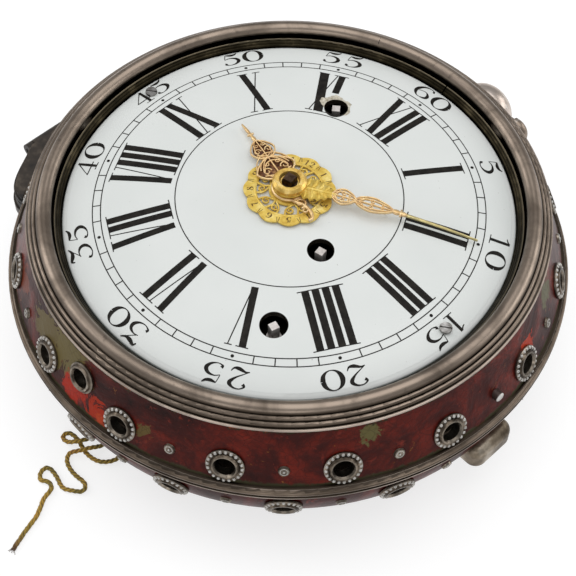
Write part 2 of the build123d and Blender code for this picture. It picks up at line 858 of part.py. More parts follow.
with BuildPart() as dial_screws:
    head_z = dial_top(screw_orbit - screw_head_r)
    for side in (-1, 1):
        with BuildSketch(Plane.XY.offset(front_plate_z)):
            with Locations((side * screw_orbit, 0)):
                Circle(screw_r)
        extrude(amount=head_z - front_plate_z)
        with BuildSketch(Plane.XY.offset(head_z)):
            with Locations((side * screw_orbit, 0)):
                Circle(screw_head_r)
        extrude(amount=screw_head_t)
        with Locations((side * screw_orbit, 0, head_z + screw_head_t)):
            Box(2.2 * screw_head_r, 0.4, 0.6, rotation=(0, 0, 35), mode=Mode.SUBTRACT)

# Movement plates and pillars
back_plate_z = front_plate_z - plate_gap - plate_t
front_plate_r = ring_inner_r - plate_radial_gap
motion_centre = polar(motion_distance, motion_angle)
hour_wheel_z = plate_top_z + hour_wheel_lift
hammer_pivot = polar(hammer_orbit, hammer_angle)


def arbor_bores(radius_extra):
    """Centres of the winding arbors, drilled to their running fit."""
    with Locations(*[polar(w[0], w[1]) for w in windings.values()]):
        Circle(arbor_r + radius_extra, mode=Mode.SUBTRACT)


with BuildPart() as front_plate:
    with BuildSketch(Plane.XY.offset(front_plate_z)):
        Circle(front_plate_r)
        Circle(centre_arbor_r + running, mode=Mode.SUBTRACT)
        arbor_bores(running)
        with Locations((screw_orbit, 0), (-screw_orbit, 0)):
            Circle(screw_r + running, mode=Mode.SUBTRACT)
        with Locations(hammer_pivot):
            Circle(hammer_arbor_r + running, mode=Mode.SUBTRACT)
    extrude(amount=plate_t)
    with BuildSketch(Plane.XY.offset(plate_top_z)):
        with Locations(motion_centre):
            Circle(minute_post_r)
    extrude(amount=hour_wheel_z + hour_wheel_t + 1 - plate_top_z)

with BuildPart() as back_plate:
    with BuildSketch(Plane.XY.offset(back_plate_z)):
        Circle(back_plate_r)
        Circle(centre_arbor_r + running, mode=Mode.SUBTRACT)
        arbor_bores(running)
        with Locations(hammer_pivot):
            Circle(hammer_arbor_r + running, mode=Mode.SUBTRACT)
        with Locations((balance_x, balance_y)):
            Circle(staff_r + running, mode=Mode.SUBTRACT)
    extrude(amount=plate_t)

with BuildPart() as plate_pillars:
    pillar_z = back_plate_z + plate_t
    for angle in pillar_angles:
        x, y = polar(pillar_orbit, angle)
        with BuildSketch(Plane(origin=(x, y, pillar_z), x_dir=(1, 0, 0), z_dir=(0, -1, 0))):
            with BuildLine():
                Line((0, 0), (pillar_r, 0))
                ThreePointArc((pillar_r, 0), (pillar_belly_r, plate_gap / 2), (pillar_r, plate_gap))
                Polyline((pillar_r, plate_gap), (0, plate_gap), (0, 0))
            make_face()
        revolve(axis=Axis((x, y, 0), (0, 0, 1)))


def barrel(name):
    """Drum with its great wheel, free on its arbor."""
    orbit, angle, hole_r, barrel_r, turn = windings[name]
    low = back_plate_z + plate_t + barrel_clearance
    high = front_plate_z - barrel_clearance
    with BuildPart() as drum:
        with BuildSketch(Plane.XY.offset(low)):
            with Locations(polar(orbit, angle)):
                Circle(barrel_r)
        extrude(amount=high - low)
        with BuildSketch(Plane.XY.offset(high - 2 * great_wheel_t)):
            with Locations(polar(orbit, angle)):
                Circle(barrel_r + great_wheel_rim)
        extrude(amount=great_wheel_t)
        with BuildSketch(Plane.XY.offset(low)):
            with Locations(polar(orbit, angle)):
                Circle(arbor_r + running)
        extrude(amount=high - low, mode=Mode.SUBTRACT)
    return drum


def winding_arbor(name):
    """Arbor through both plates, ending in a square inside its hole in the dial."""
    orbit, angle, hole_r, barrel_r, turn = windings[name]
    with BuildPart() as arbor:
        with BuildSketch(Plane.XY.offset(back_plate_z - 0.5)):
            with Locations(polar(orbit, angle)):
                Circle(arbor_r)
        extrude(amount=plate_top_z + 0.5 - back_plate_z + 0.5)
        with BuildSketch(Plane.XY.offset(plate_top_z)):
            with Locations(Location((*polar(orbit, angle), 0), (0, 0, turn))):
                Rectangle(arbor_square, arbor_square)
        extrude(amount=dial_top(orbit) - square_below_dial - plate_top_z)
    return arbor


barrels = {name: barrel(name) for name in windings}
winding_arbors = {name: winding_arbor(name) for name in windings}


def toothed_disc(teeth, module, phase):
    """Outline of a clock wheel with one tooth centred at phase degrees."""
    root = module * (teeth / 2 - 1.2)
    tip = module * (teeth / 2 + 0.9)
    pitch = pi * module
    Circle(root)
    with PolarLocations(0, teeth, start_angle=phase):
        Polygon(
            (root * 0.9, -0.27 * pitch),
            (module * teeth / 2, -0.2 * pitch),
            (tip, -0.08 * pitch),
            (tip, 0.08 * pitch),
            (module * teeth / 2, 0.2 * pitch),
            (root * 0.9, 0.27 * pitch),
            align=None,
        )


lower_module = 2 * motion_distance / (cannon_teeth + minute_wheel_teeth)
upper_module = 2 * motion_distance / (minute_pinion_teeth + hour_wheel_teeth)
lower_gear_z = plate_top_z + motion_gap

# Cannon pinion, centre arbor and hour wheel stand in the middle, the minute wheel beside them
with BuildPart() as cannon_pinion:
    with BuildSketch(Plane.XY.offset(lower_gear_z)):
        toothed_disc(cannon_teeth, lower_module, motion_angle + 180 / cannon_teeth)
    extrude(amount=lower_gear_t + 0.3)
    with BuildSketch(Plane.XY.offset(lower_gear_z)):
        Circle(cannon_r)
    extrude(amount=boss_top + square_proud - cannon_square_h - lower_gear_z)
    with BuildSketch(Plane.XY.offset(boss_top + square_proud - cannon_square_h)):
        Rectangle(cannon_square, cannon_square, rotation=10)
    extrude(amount=cannon_square_h, taper=6)
    with BuildSketch(Plane.XY.offset(lower_gear_z)):
        Circle(centre_arbor_r)
    extrude(amount=boss_top - 1 - lower_gear_z, mode=Mode.SUBTRACT)

with BuildPart() as centre_arbor:
    with BuildSketch(Plane.XY.offset(back_plate_z - 0.5)):
        Circle(centre_arbor_r)
    extrude(amount=boss_top - 1 - back_plate_z + 0.5)

with BuildPart() as minute_wheel:
    with BuildSketch(Plane(origin=(*motion_centre, lower_gear_z))):
        toothed_disc(minute_wheel_teeth, lower_module, motion_angle + 180)
    extrude(amount=lower_gear_t)
    with BuildSketch(Plane(origin=(*motion_centre, lower_gear_z + lower_gear_t))):
        toothed_disc(minute_pinion_teeth, upper_module, motion_angle + 180 + 180 / minute_pinion_teeth)
    extrude(amount=hour_wheel_z + hour_wheel_t + 0.3 - lower_gear_z - lower_gear_t)
    with BuildSketch(Plane(origin=(*motion_centre, lower_gear_z))):
        Circle(minute_post_r + running)
    extrude(amount=10, mode=Mode.SUBTRACT)

with BuildPart() as hour_wheel:
    with BuildSketch(Plane.XY.offset(hour_wheel_z)):
        toothed_disc(hour_wheel_teeth, upper_module, motion_angle)
    extrude(amount=hour_wheel_t)
    with BuildSketch(Plane.XY.offset(hour_wheel_z)):
        Circle(hour_pipe_r)
    extrude(amount=hour_hand_z + hand_t - hour_wheel_z)
    with BuildSketch(Plane.XY.offset(hour_wheel_z)):
        Circle(cannon_r + running)
    extrude(amount=front_depth, mode=Mode.SUBTRACT)

# Alarm disc: twelve lobes round a numeral band, pierced between its arms
lobe_r = alarm_disc_r * sin(radians(180 / alarm_lobes)) * 1.05
with BuildPart() as alarm_disc:
    with BuildSketch(Plane.XY.offset(alarm_disc_z)):
        Circle(alarm_disc_r - lobe_r * 0.6)
        with PolarLocations(alarm_disc_r - lobe_r, alarm_lobes, start_angle=15):
            Circle(lobe_r)
        window = (alarm_window_in + alarm_window_out) / 2
        window_w = alarm_window_out - alarm_window_in
        window_turn = 360 / alarm_arms - degrees((window_w + 0.6) / window)
        with PolarLocations(window, alarm_arms):
            window_arc = CenterArc((-window, 0), window, -window_turn / 2, window_turn)
            SlotArc(window_arc, window_w, mode=Mode.SUBTRACT)
        with PolarLocations(window, alarm_arms):
            Circle(window_w / 2 + 0.05)
            Circle(window_w / 2 - alarm_ring_w, mode=Mode.SUBTRACT)
        Circle(hour_pipe_r + running, mode=Mode.SUBTRACT)
    extrude(amount=alarm_disc_t)


def turned(angle, height=0.0):
    """Horizontal plane whose X axis points along a hand."""
    return Plane(origin=(0, 0, height), x_dir=(cos(radians(angle)), sin(radians(angle)), 0), z_dir=(0, 0, 1))


def hand_strip(angle, root_z, middle, tip):
    """Thin strip bent to follow the dome of the dial, that a hand is pierced from."""
    side = Plane(
        origin=(0, 0, 0),
        x_dir=(cos(radians(angle)), sin(radians(angle)), 0),
        z_dir=(sin(radians(angle)), -cos(radians(angle)), 0),
    )
    with BuildPart() as strip:
        with BuildSketch(side):
            with BuildLine():
                Line((-strip_tail, root_z), (boss_r, root_z))
                ThreePointArc((boss_r, root_z), middle, tip)
                Line(tip, (tip[0], tip[1] + hand_t))
                ThreePointArc(
                    (tip[0], tip[1] + hand_t),
                    (middle[0], middle[1] + hand_t),
                    (boss_r, root_z + hand_t),
                )
                Line((boss_r, root_z + hand_t), (-strip_tail, root_z + hand_t))
                Line((-strip_tail, root_z + hand_t), (-strip_tail, root_z))
            make_face()
        extrude(amount=boss_r * 2, both=True)
    return strip.part


def rib(points, width):
    """Stroke of even width along a smooth path."""
    with BuildLine() as path:
        Spline(*points)
    trace(path.edges(), line_width=width)


def pierced_lobe(start, end, width, rib_w):
    """Openwork lobe along +X: two bows, a middle rib and a pair of curls on each side of it."""
    length = end - start
    curl_r = (width / 2 - 1.5 * rib_w) / 2 + rib_w * 0.35
    for side in (1, -1):
        for along, share in ((0.46, 1.0), (0.76, 0.55)):
            with Locations((start + along * length, side * (curl_r * share + rib_w * 0.3))):
                Circle(curl_r * share)
                Circle(curl_r * share - 0.8 * rib_w, mode=Mode.SUBTRACT)
    for side in (1, -1):
        rib(
            [
                (start, side * 0.1),
                (start + 0.14 * length, side * 0.31 * width),
                (start + 0.45 * length, side * (width - rib_w) / 2),
                (start + 0.8 * length, side * 0.26 * width),
                (end, side * 0.1),
            ],
            rib_w,
        )
        rib(
            [
                (start + 0.05 * length, 0),
                (start + 0.17 * length, side * 0.12 * width),
                (start + 0.24 * length, side * 0.4 * width),
            ],
            0.9 * rib_w,
        )
    with Locations(((start + end) / 2, 0)):
        Rectangle(length, rib_w)


def needle(start, knot, end, root_w, tip_w, knot_w):
    """Tapered point of a hand, with a cross bar for a knot."""
    with BuildLine() as outline:
        Polyline((start, root_w / 2), (end, tip_w / 2), (end, -tip_w / 2), (start, -root_w / 2), close=True)
    make_face(outline.edges())
    with Locations((knot, 0)):
        Circle(knot_w * 0.3)
        Rectangle(0.45, knot_w)


# Hour hand: two pierced lobes, a knot and a needle, with a scrolled tail behind the hub
with BuildPart() as hour_hand:
    with BuildSketch(turned(hour_hand_angle, hour_hand_z - 4)):
        pierced_lobe(hour_hub_r - 0.4, hour_lobe_end, hour_lobe_w, 0.6)
        pierced_lobe(hour_lobe_end - 0.4, hour_neck_end, hour_neck_w, 0.5)
        needle(hour_neck_end - 0.6, hour_knot_r, hour_hand_reach, 0.8, 0.35, 1.9)
        for back, ring_r in hour_tail_rings:
            with Locations((-back, 0)):
                Circle(ring_r)
                Circle(ring_r - 0.5, mode=Mode.SUBTRACT)
        rib([(-8.8, -0.3), (0.6 - hour_tail, -0.8), (-hour_tail, 1.0)], 0.55)
        Circle(hour_hub_r)
        Circle(hour_pipe_r, mode=Mode.SUBTRACT)
    extrude(amount=8)
    add(
        hand_strip(
            hour_hand_angle,
            hour_hand_z,
            (0.6 * hour_hand_reach, hour_hand_z - 0.35),
            (hour_hand_reach, hour_hand_z - 1.5),
        ),
        mode=Mode.INTERSECT,
    )

# Minute hand: a cut leaf at the boss, a short pierced lobe, a long one, a knot and a needle
with BuildPart() as minute_hand:
    with BuildSketch(turned(minute_hand_angle, track_z - 2)):
        with BuildLine() as leaf:
            Spline((2.5, 2.4), (0.5 * minute_leaf_end, minute_leaf_w / 2), (minute_leaf_end, 0.4))
            Line((minute_leaf_end, 0.4), (minute_leaf_end, -0.4))
            Spline((minute_leaf_end, -0.4), (0.5 * minute_leaf_end, -minute_leaf_w / 2), (2.5, -2.4))
            Line((2.5, -2.4), (2.5, 2.4))
        make_face(leaf.edges())
        for side in (1, -1):
            for k in range(4):
                with Locations((5.2 + 1.3 * k, side * minute_leaf_w / 2 * (1 - 0.07 * k))):
                    Circle(0.42, mode=Mode.SUBTRACT)
        pierced_lobe(minute_leaf_end - 0.4, minute_lobe_end, minute_lobe_w, 0.4)
        pierced_lobe(minute_lobe_end - 0.4, minute_neck_end, minute_lobe_w, 0.4)
        needle(minute_neck_end - 0.6, minute_knot_r, minute_hand_reach, 1.0, 0.45, 2.2)
        Circle(boss_r)
        Circle(cannon_r, mode=Mode.SUBTRACT)
    extrude(amount=12)
    add(
        hand_strip(
            minute_hand_angle,
            minute_hand_z,
            (0.55 * minute_hand_reach, minute_hand_z - 1.5),
            (minute_hand_reach, minute_hand_z - 5.3),
        ),
        mode=Mode.INTERSECT,
    )

# Collar that holds the hands down, hollowed round the winding square
with BuildPart() as hand_collar:
    with BuildSketch(Plane.XZ):
        with BuildLine():
            Polyline(
                (cannon_r, minute_hand_z + hand_t),
                (boss_r, minute_hand_z + hand_t),
                (boss_r, boss_top - 0.6),
                (boss_r - 0.6, boss_top),
                (boss_recess_r + 0.4, boss_top),
                (boss_recess_r, boss_top + square_proud - cannon_square_h),
                (cannon_r, boss_top + square_proud - cannon_square_h),
                close=True,
            )
        make_face()
    revolve(axis=Axis.Z)

# Bell inside the bowl, on a post at its middle
bell_inset = wall_t + bell_gap
with BuildPart() as bell:
    with BuildSketch(Plane.XZ):
        bowl_profile(bell_inset, bell_rim_z)
    revolve(axis=Axis.Z)
    with BuildSketch(Plane.XZ):
        bowl_profile(bell_inset + bell_t, bell_rim_z)
    revolve(axis=Axis.Z, mode=Mode.SUBTRACT)
    with BuildSketch(Plane.XY):
        Circle(bell_post_r / 2)
    extrude(amount=bell_rim_z, mode=Mode.SUBTRACT)

with BuildPart() as bell_post:
    with BuildSketch(Plane.XY.offset(wall_t)):
        Circle(bell_post_r)
    extrude(amount=bell_gap)
    with BuildSketch(Plane.XY.offset(wall_t + bell_gap)):
        Circle(bell_post_r / 2 - running)
    extrude(amount=bell_t)

with BuildPart() as bell_nut:
    with BuildSketch(Plane.XY.offset(bell_inset + bell_t)):
        Circle(bell_post_r)
    extrude(amount=bell_nut_t)
    with BuildSketch(Plane.XY.offset(bell_inset + bell_t + bell_nut_t / 2)):
        Rectangle(3 * bell_post_r, 0.8)
    extrude(amount=bell_nut_t, mode=Mode.SUBTRACT)

# Hammer for the bell, on an arbor through both plates
hammer_low = back_plate_z - hammer_drop
hammer_head_orbit = bowl_radius(hammer_low, bell_inset + bell_t) - hammer_head_r - hammer_head_gap
hammer_head = polar(hammer_head_orbit, hammer_head_angle)
hammer_dx = hammer_head[0] - hammer_pivot[0]
hammer_dy = hammer_head[1] - hammer_pivot[1]
hammer_reach = sqrt(hammer_dx**2 + hammer_dy**2)
hammer_turn = degrees(atan2(hammer_dy, hammer_dx))
with BuildPart() as hammer:
    with BuildSketch(Plane(origin=(*hammer_pivot, hammer_low))):
        Circle(hammer_arbor_r)
    extrude(amount=plate_top_z + 0.4 - hammer_low)
    with BuildSketch(Plane(origin=(*hammer_pivot, hammer_low)).rotated((0, 0, hammer_turn))):
        Circle(2 * hammer_arbor_r)
        with Locations((hammer_reach / 2, 0)):
            Rectangle(hammer_reach, 1.6)
        with Locations((hammer_reach, 0)):
            Circle(hammer_head_r)
    extrude(amount=1.4)
    with BuildSketch(Plane(origin=(*hammer_head, hammer_low))):
        Circle(hammer_head_r)
    extrude(amount=5.5)

# Balance under the back plate, and the pierced cock that carries its lower pivot
balance_z = back_plate_z - balance_drop - balance_t
cock_z = back_plate_z - cock_drop
foot_turn = degrees(atan2(balance_y, balance_x))
with BuildPart() as balance_wheel:
    with BuildSketch(Plane(origin=(balance_x, balance_y, balance_z))):
        Circle(balance_r)
        Circle(balance_r - balance_rim_w, mode=Mode.SUBTRACT)
        with PolarLocations(balance_r / 2, 3):
            Rectangle(balance_r - 0.6, 1.2)
        Circle(1.6)
    extrude(amount=balance_t)
    with BuildSketch(Plane(origin=(balance_x, balance_y, cock_z + 0.2))):
        Circle(staff_r)
    extrude(amount=back_plate_z + plate_t - 0.2 - cock_z - 0.2)

with BuildPart() as balance_cock:
    with BuildSketch(Plane(origin=(balance_x, balance_y, cock_z)).rotated((0, 0, foot_turn))):
        Circle(cock_r)
        with Locations((cock_foot_distance / 2, 0)):
            Rectangle(cock_foot_distance, cock_foot_r * 1.5)
        with Locations((cock_foot_distance, 0)):
            Circle(cock_foot_r)
        with PolarLocations(cock_r * 0.58, 6):
            Circle(cock_r * 0.2, mode=Mode.SUBTRACT)
        Circle(staff_r + running, mode=Mode.SUBTRACT)
    extrude(amount=cock_t)
    with BuildSketch(Plane(origin=(balance_x, balance_y, cock_z)).rotated((0, 0, foot_turn))):
        with Locations((cock_foot_distance, 0)):
            Circle(cock_foot_r)
    extrude(amount=back_plate_z - cock_z)

# Flange where the cord leaves the bowl
with BuildPart() as cord_eyelet:
    with BuildSketch(upright(cord_exit)):
        with BuildLine():
            Polyline(
                (cord_r + cord_slack, -wall_t),
                (cord_r * 3, -wall_t),
                (cord_r * 3, 0),
                (exit_flange_r, 0),
                (exit_flange_r - 0.4, exit_flange_t),
                (cord_r + cord_slack + 0.2, exit_flange_t),
                (cord_r + cord_slack, exit_flange_t - 0.3),
                close=True,
            )
        make_face()
    revolve(axis=Axis(cord_exit.origin, cord_exit.z_dir))

# Cord, with each bend as wide as its two runs allow
cord_points = [Vector(*point) for point in cord_route]
cord_radii = []
for before, corner, after in zip(cord_points, cord_points[1:], cord_points[2:]):
    half_turn = radians((corner - before).get_angle(after - corner)) / 2
    cord_radii.append(0.45 * min((corner - before).length, (after - corner).length) / tan(half_turn))
with BuildPart() as pull_cord:
    with BuildLine() as cord_line:
        FilletPolyline(*cord_points, radius=cord_radii)
    with BuildSketch(Plane(origin=cord_points[0], z_dir=cord_points[1] - cord_points[0])):
        Circle(cord_r)
    sweep(path=cord_line.wires()[0])
cord_length = cord_line.wires()[0].length
cord_share = pull_cord.part.volume / (pi * cord_r**2 * cord_length)
print("cord radii", [round(radius, 2) for radius in cord_radii])
print("cord length", round(cord_length, 2), "volume share", round(cord_share, 4))

pieces = {
    "back_shell": back_shell.part,
    "back_covering": back_covering.part,
    "back_rim": back_rim.part,
    "back_eyelets": back_eyelets.part,
    "back_pins": back_pins.part,
    "front_rim": front_rim.part,
    "front_shell": front_shell.part,
    "front_covering": front_covering.part,
    "bezel": bezel.part,
    "front_eyelets": front_eyelets.part,
    "front_pins": front_pins.part,
    "band_grommet": band_grommet.part,
    "hinge_back_leaf": hinge_back_leaf.part,
    "hinge_front_leaf": hinge_front_leaf.part,
    "hinge_pin": hinge_pin.part,
    "pendant": pendant.part,
    "bow": bow.part,
    "thumb_piece": thumb_piece.part,
    "push_button": push_button.part,
    "latch_tongue": latch_tongue.part,
    "latch_catch": latch_catch.part,
    "dial_ring": dial_ring.part,
    "dial": dial.part,
    "dial_screws": dial_screws.part,
    "front_plate": front_plate.part,
    "back_plate": back_plate.part,
    "plate_pillars": plate_pillars.part,
    "cannon_pinion": cannon_pinion.part,
    "centre_arbor": centre_arbor.part,
    "minute_wheel": minute_wheel.part,
    "hour_wheel": hour_wheel.part,
    "alarm_disc": alarm_disc.part,
    "hour_hand": hour_hand.part,
    "minute_hand": minute_hand.part,
    "hand_collar": hand_collar.part,
    "bell": bell.part,
    "bell_post": bell_post.part,
    "bell_nut": bell_nut.part,
    "hammer": hammer.part,
    "balance_wheel": balance_wheel.part,
    "balance_cock": balance_cock.part,
    "cord_eyelet": cord_eyelet.part,
    "pull_cord": pull_cord.part,
}
for name, drum in barrels.items():
    pieces[name + "_barrel"] = drum.part
for name, arbor in winding_arbors.items():
    pieces[name + "_arbor"] = arbor.part

for name, piece in pieces.items():
    piece.label = name
    export_step(piece, f"parts/{name}.step")
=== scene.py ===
import json
import math
import random

import bpy
from mathutils import Matrix, Vector


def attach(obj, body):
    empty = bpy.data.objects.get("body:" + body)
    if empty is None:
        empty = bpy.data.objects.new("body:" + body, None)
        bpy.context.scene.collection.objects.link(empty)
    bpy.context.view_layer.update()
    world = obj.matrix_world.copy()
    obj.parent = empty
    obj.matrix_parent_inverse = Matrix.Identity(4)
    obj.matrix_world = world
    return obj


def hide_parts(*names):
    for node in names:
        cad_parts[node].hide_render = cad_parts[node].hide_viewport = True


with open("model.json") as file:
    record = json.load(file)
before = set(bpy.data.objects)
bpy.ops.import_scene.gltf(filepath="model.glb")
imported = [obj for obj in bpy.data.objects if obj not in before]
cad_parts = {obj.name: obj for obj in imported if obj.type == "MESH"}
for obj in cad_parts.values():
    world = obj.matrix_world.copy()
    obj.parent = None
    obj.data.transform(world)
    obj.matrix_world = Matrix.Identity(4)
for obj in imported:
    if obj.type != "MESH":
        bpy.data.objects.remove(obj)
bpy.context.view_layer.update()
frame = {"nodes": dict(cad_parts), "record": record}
nodes = frame["nodes"]


def centre_of(name):
    """Middle of a node's box, in millimetres."""
    corners = [nodes[name].matrix_world @ Vector(c) for c in nodes[name].bound_box]
    return sum(corners, Vector()) * 125


WINDING_R = (3.0, 3.2, 3.3)
WINDING_HOLES = [tuple(centre_of(name)[:2]) for name in ("alarm_arbor", "going_arbor", "strike_arbor")]

# Sizes that the source of the solids uses, in millimetres
TRACK_Z = 46.0
SPLIT_Z = 26.8
SPHERE_R = 273.0
RISE = 4.0
WALL_CENTRE_R = 48.0
WALL_ARC_R = 21.2
WALL_CENTRE_Z = SPLIT_Z - 3.4
BAND_TOP = (63.7, 44.2)
BAND_FOOT = (69.2, 29.0)


def polar(radius, angle):
    return (radius * math.cos(math.radians(angle)), radius * math.sin(math.radians(angle)))


def dial_top(radius):
    return TRACK_Z + RISE - (SPHERE_R - math.sqrt(SPHERE_R**2 - radius**2))


def band_radius(z):
    return BAND_TOP[0] + (BAND_TOP[1] - z) * (BAND_FOOT[0] - BAND_TOP[0]) / (BAND_TOP[1] - BAND_FOOT[1])


def bowl_radius(z):
    return WALL_CENTRE_R + math.sqrt(WALL_ARC_R**2 - (WALL_CENTRE_Z - z) ** 2)


class Nodes:
    """A material's node tree, with short calls for the nodes used here."""

    def __init__(self, name):
        self.material = bpy.data.materials.new(name)
        self.material.use_nodes = True
        self.tree = self.material.node_tree
        self.shader = self.tree.nodes["Principled BSDF"]
        self.place = self.tree.nodes.new("ShaderNodeTexCoord").outputs["Object"]

    def link(self, value, socket):
        if hasattr(value, "is_output"):
            self.tree.links.new(value, socket)
        else:
            socket.default_value = value

    def new(self, kind, *ordered, **named):
        """New node. Each input takes a value or another node's output, by place or by name."""
        n = self.tree.nodes.new(kind)
        for key, value in (*enumerate(ordered), *named.items()):
            self.link(value, n.inputs[key.replace("_", " ") if key in named else key])
        return n

    def noise(self, scale, detail=4.0, rough=0.55, distortion=0.0):
        sizes = {"Scale": scale, "Detail": detail, "Roughness": rough, "Distortion": distortion}
        return self.new("ShaderNodeTexNoise", Vector=self.place, **sizes).outputs["Fac"]

    def cracks(self, scale):
        """0 on the edges of small cells, rising towards their middles."""
        n = self.new("ShaderNodeTexVoronoi", Vector=self.place, Scale=scale)
        n.feature = "DISTANCE_TO_EDGE"
        return n.outputs["Distance"]

    def ramp(self, fac, stops):
        n = self.new("ShaderNodeValToRGB", Fac=fac)
        marks = n.color_ramp.elements
        for mark, (at, colour) in zip(marks, (stops[0], stops[-1])):
            mark.position = at
            mark.color = (*colour, 1)
        for at, colour in stops[1:-1]:
            marks.new(at).color = (*colour, 1)
        return n.outputs["Color"]

    def level(self, fac, low, high, a=0.0, b=1.0):
        """From a to b while fac goes from low to high, and no further."""
        ends = {"From_Min": low, "From_Max": high, "To_Min": a, "To_Max": b}
        return self.new("ShaderNodeMapRange", Value=fac, **ends).outputs["Result"]

    def math(self, kind, a, b=0.0):
        n = self.new("ShaderNodeMath", a, b)
        n.operation = kind
        return n.outputs[0]

    def ragged(self, share, noise, amount):
        """A share with its edge broken up by a noise."""
        return self.math("ADD", share, self.math("MULTIPLY", self.math("SUBTRACT", noise, 0.5), amount))

    def mix(self, fac, a, b):
        n = self.new("ShaderNodeMix")
        n.data_type = "RGBA"
        for name, value in (("Factor", fac), ("A", a), ("B", b)):
            self.link((*value, 1) if isinstance(value, tuple) else value, n.inputs[name])
        return n.outputs["Result"]

    def distance(self, place, point):
        """How far a place is from a point given in millimetres."""
        n = self.new("ShaderNodeVectorMath", place, [c * 0.001 for c in point])
        n.operation = "DISTANCE"
        return n.outputs["Value"]

    def near(self, point, reach):
        """1 at a point in millimetres, falling to 0 at reach."""
        return self.level(self.distance(self.place, point), 0.0, reach * 0.001, 1.0, 0.0)

    def radius(self, x=0.0, y=0.0):
        """Distance from an upright axis: the dial's, or another given in millimetres."""
        n = self.new("ShaderNodeVectorMath", self.place, (1, 1, 0))
        n.operation = "MULTIPLY"
        return self.distance(n.outputs["Vector"], (x, y, 0))

    def edges(self):
        """Above a half on a mesh's outer edges, below it in its hollows."""
        return self.new("ShaderNodeNewGeometry").outputs["Pointiness"]

    def height(self, letter="Z"):
        return self.new("ShaderNodeSeparateXYZ", self.place).outputs[letter]

    def bump(self, height, strength, distance):
        n = self.new("ShaderNodeBump", Height=height, Strength=strength, Distance=distance)
        normal = self.shader.inputs["Normal"]
        if normal.links:
            self.link(normal.links[0].from_socket, n.inputs["Normal"])
        self.link(n.outputs["Normal"], normal)

    def set(self, **values):
        for name, value in values.items():
            socket = self.shader.inputs[name.replace("_", " ")]
            if isinstance(value, tuple):
                value = (*value, 1)
            self.link(value, socket)


def aged(bright):
    """Tone of old silver, browner where it is darker."""
    return (bright, bright * (0.75 + 0.18 * bright), bright * (0.54 + 0.36 * bright))


def silver(name, lift=1.0, profile=None):
    """Old silver. A profile gives the tones of its grooves and crests by radius or height: tarnish and
    wear, partly painted shade and painted highlight.
    """
    m = Nodes(name)
    patina = m.noise(55, 5, 0.6, 0.6)
    grime = m.noise(420, 3, 0.6)
    if profile:
        measure, stops = profile
        low, high = stops[0][0], stops[-1][0]
        at = m.level(getattr(m, measure)(), low * 0.001, high * 0.001)
        shares = [(v - low) / (high - low) for v, b in stops]
        colour = m.ramp(at, [(share, aged(b)) for share, (v, b) in zip(shares, stops)])
        colour = m.mix(m.level(patina, 0.54, 0.36, 0.0, 0.6), colour, aged(0.05))
    else:
        tones = [(0.3, 0.1), (0.5, 0.24), (0.7, 0.44)]
        colour = m.ramp(patina, [(at, aged(min(b * lift, 0.9))) for at, b in tones])
    edge = m.edges()
    colour = m.mix(m.level(grime, 0.62, 0.74, 0.0, 0.5), colour, (0.1, 0.08, 0.065))
    colour = m.mix(m.level(edge, 0.49, 0.44, 0.0, 0.85), colour, (0.035, 0.028, 0.022))
    if not profile:
        worn = m.level(edge, 0.53, 0.6, 0.0, 0.75)
        colour = m.mix(worn, colour, (0.8, 0.77, 0.72))
    m.set(Base_Color=colour, Metallic=1.0, Roughness=m.level(patina, 0.3, 0.7, 0.44, 0.28))
    m.bump(m.noise(900, 2, 0.5), 0.12, 0.0001)
    m.bump(patina, 0.06, 0.0004)
    return m.material


def oxidised():
    m = Nodes("oxidised_silver")
    patina = m.noise(300, 4, 0.6)
    tones = [(0.35, (0.032, 0.025, 0.019)), (0.53, (0.11, 0.087, 0.066)), (0.72, (0.28, 0.23, 0.18))]
    colour = m.ramp(patina, tones)
    edge = m.edges()
    colour = m.mix(m.level(edge, 0.49, 0.43, 0.0, 0.8), colour, (0.015, 0.012, 0.01))
    colour = m.mix(m.level(edge, 0.54, 0.62, 0.0, 0.45), colour, (0.5, 0.45, 0.38))
    m.set(Base_Color=colour, Metallic=1.0, Roughness=m.level(patina, 0.3, 0.7, 0.42, 0.3))
    m.bump(patina, 0.25, 0.0002)
    return m.material


def covering():
    m = Nodes("lacquered_leather")
    cloud = m.noise(60, 5, 0.65, 0.8)
    fine = m.noise(330, 4, 0.7, 0.5)
    flakes = m.noise(150, 6, 0.75, 1.6)
    cracks = m.cracks(620)
    tones = [(0.32, (0.014, 0.003, 0.0025)), (0.5, (0.055, 0.007, 0.005)), (0.68, (0.19, 0.018, 0.009))]
    colour = m.ramp(cloud, tones)
    colour = m.mix(m.level(fine, 0.6, 0.72), colour, (0.2, 0.026, 0.016))
    colour = m.mix(m.level(flakes, 0.64, 0.69), colour, (0.27, 0.1, 0.024))

    for point, reach, tone in PATCHES:
        colour = m.mix(m.level(m.ragged(m.near(point, reach), flakes, 2.0), 0.48, 0.58), colour, tone)
    # Dark strips along the foot of the band and under its top edge
    z = m.height()
    foot = m.ragged(m.level(z, 0.0312, 0.0292), fine, 1.2)
    over = m.math("GREATER_THAN", z, 0.0289)
    colour = m.mix(m.math("MULTIPLY", m.level(foot, 0.6, 0.9), over), colour, (0.04, 0.036, 0.016))
    brow = m.ragged(m.level(z, 0.0418, 0.0438), flakes, 3)
    colour = m.mix(m.level(brow, 0.9, 1.0), colour, (0.035, 0.025, 0.01))
    colour = m.mix(m.level(brow, 1.15, 1.22), colour, (0.3, 0.05, 0.012))
    seen = m.math("MULTIPLY", m.level(cracks, 0.06, 0.0), m.level(cloud, 0.45, 0.6, 0.0, 0.5))
    colour = m.mix(seen, colour, (0.012, 0.005, 0.004))
    m.set(Base_Color=colour, Metallic=0.0, Roughness=m.level(cloud, 0.3, 0.7, 0.42, 0.28))
    m.set(Specular_IOR_Level=0.1)
    m.bump(cracks, 0.1, 0.0003)
    m.bump(fine, 0.25, 0.0004)
    m.bump(cloud, 0.3, 0.0012)
    return m.material


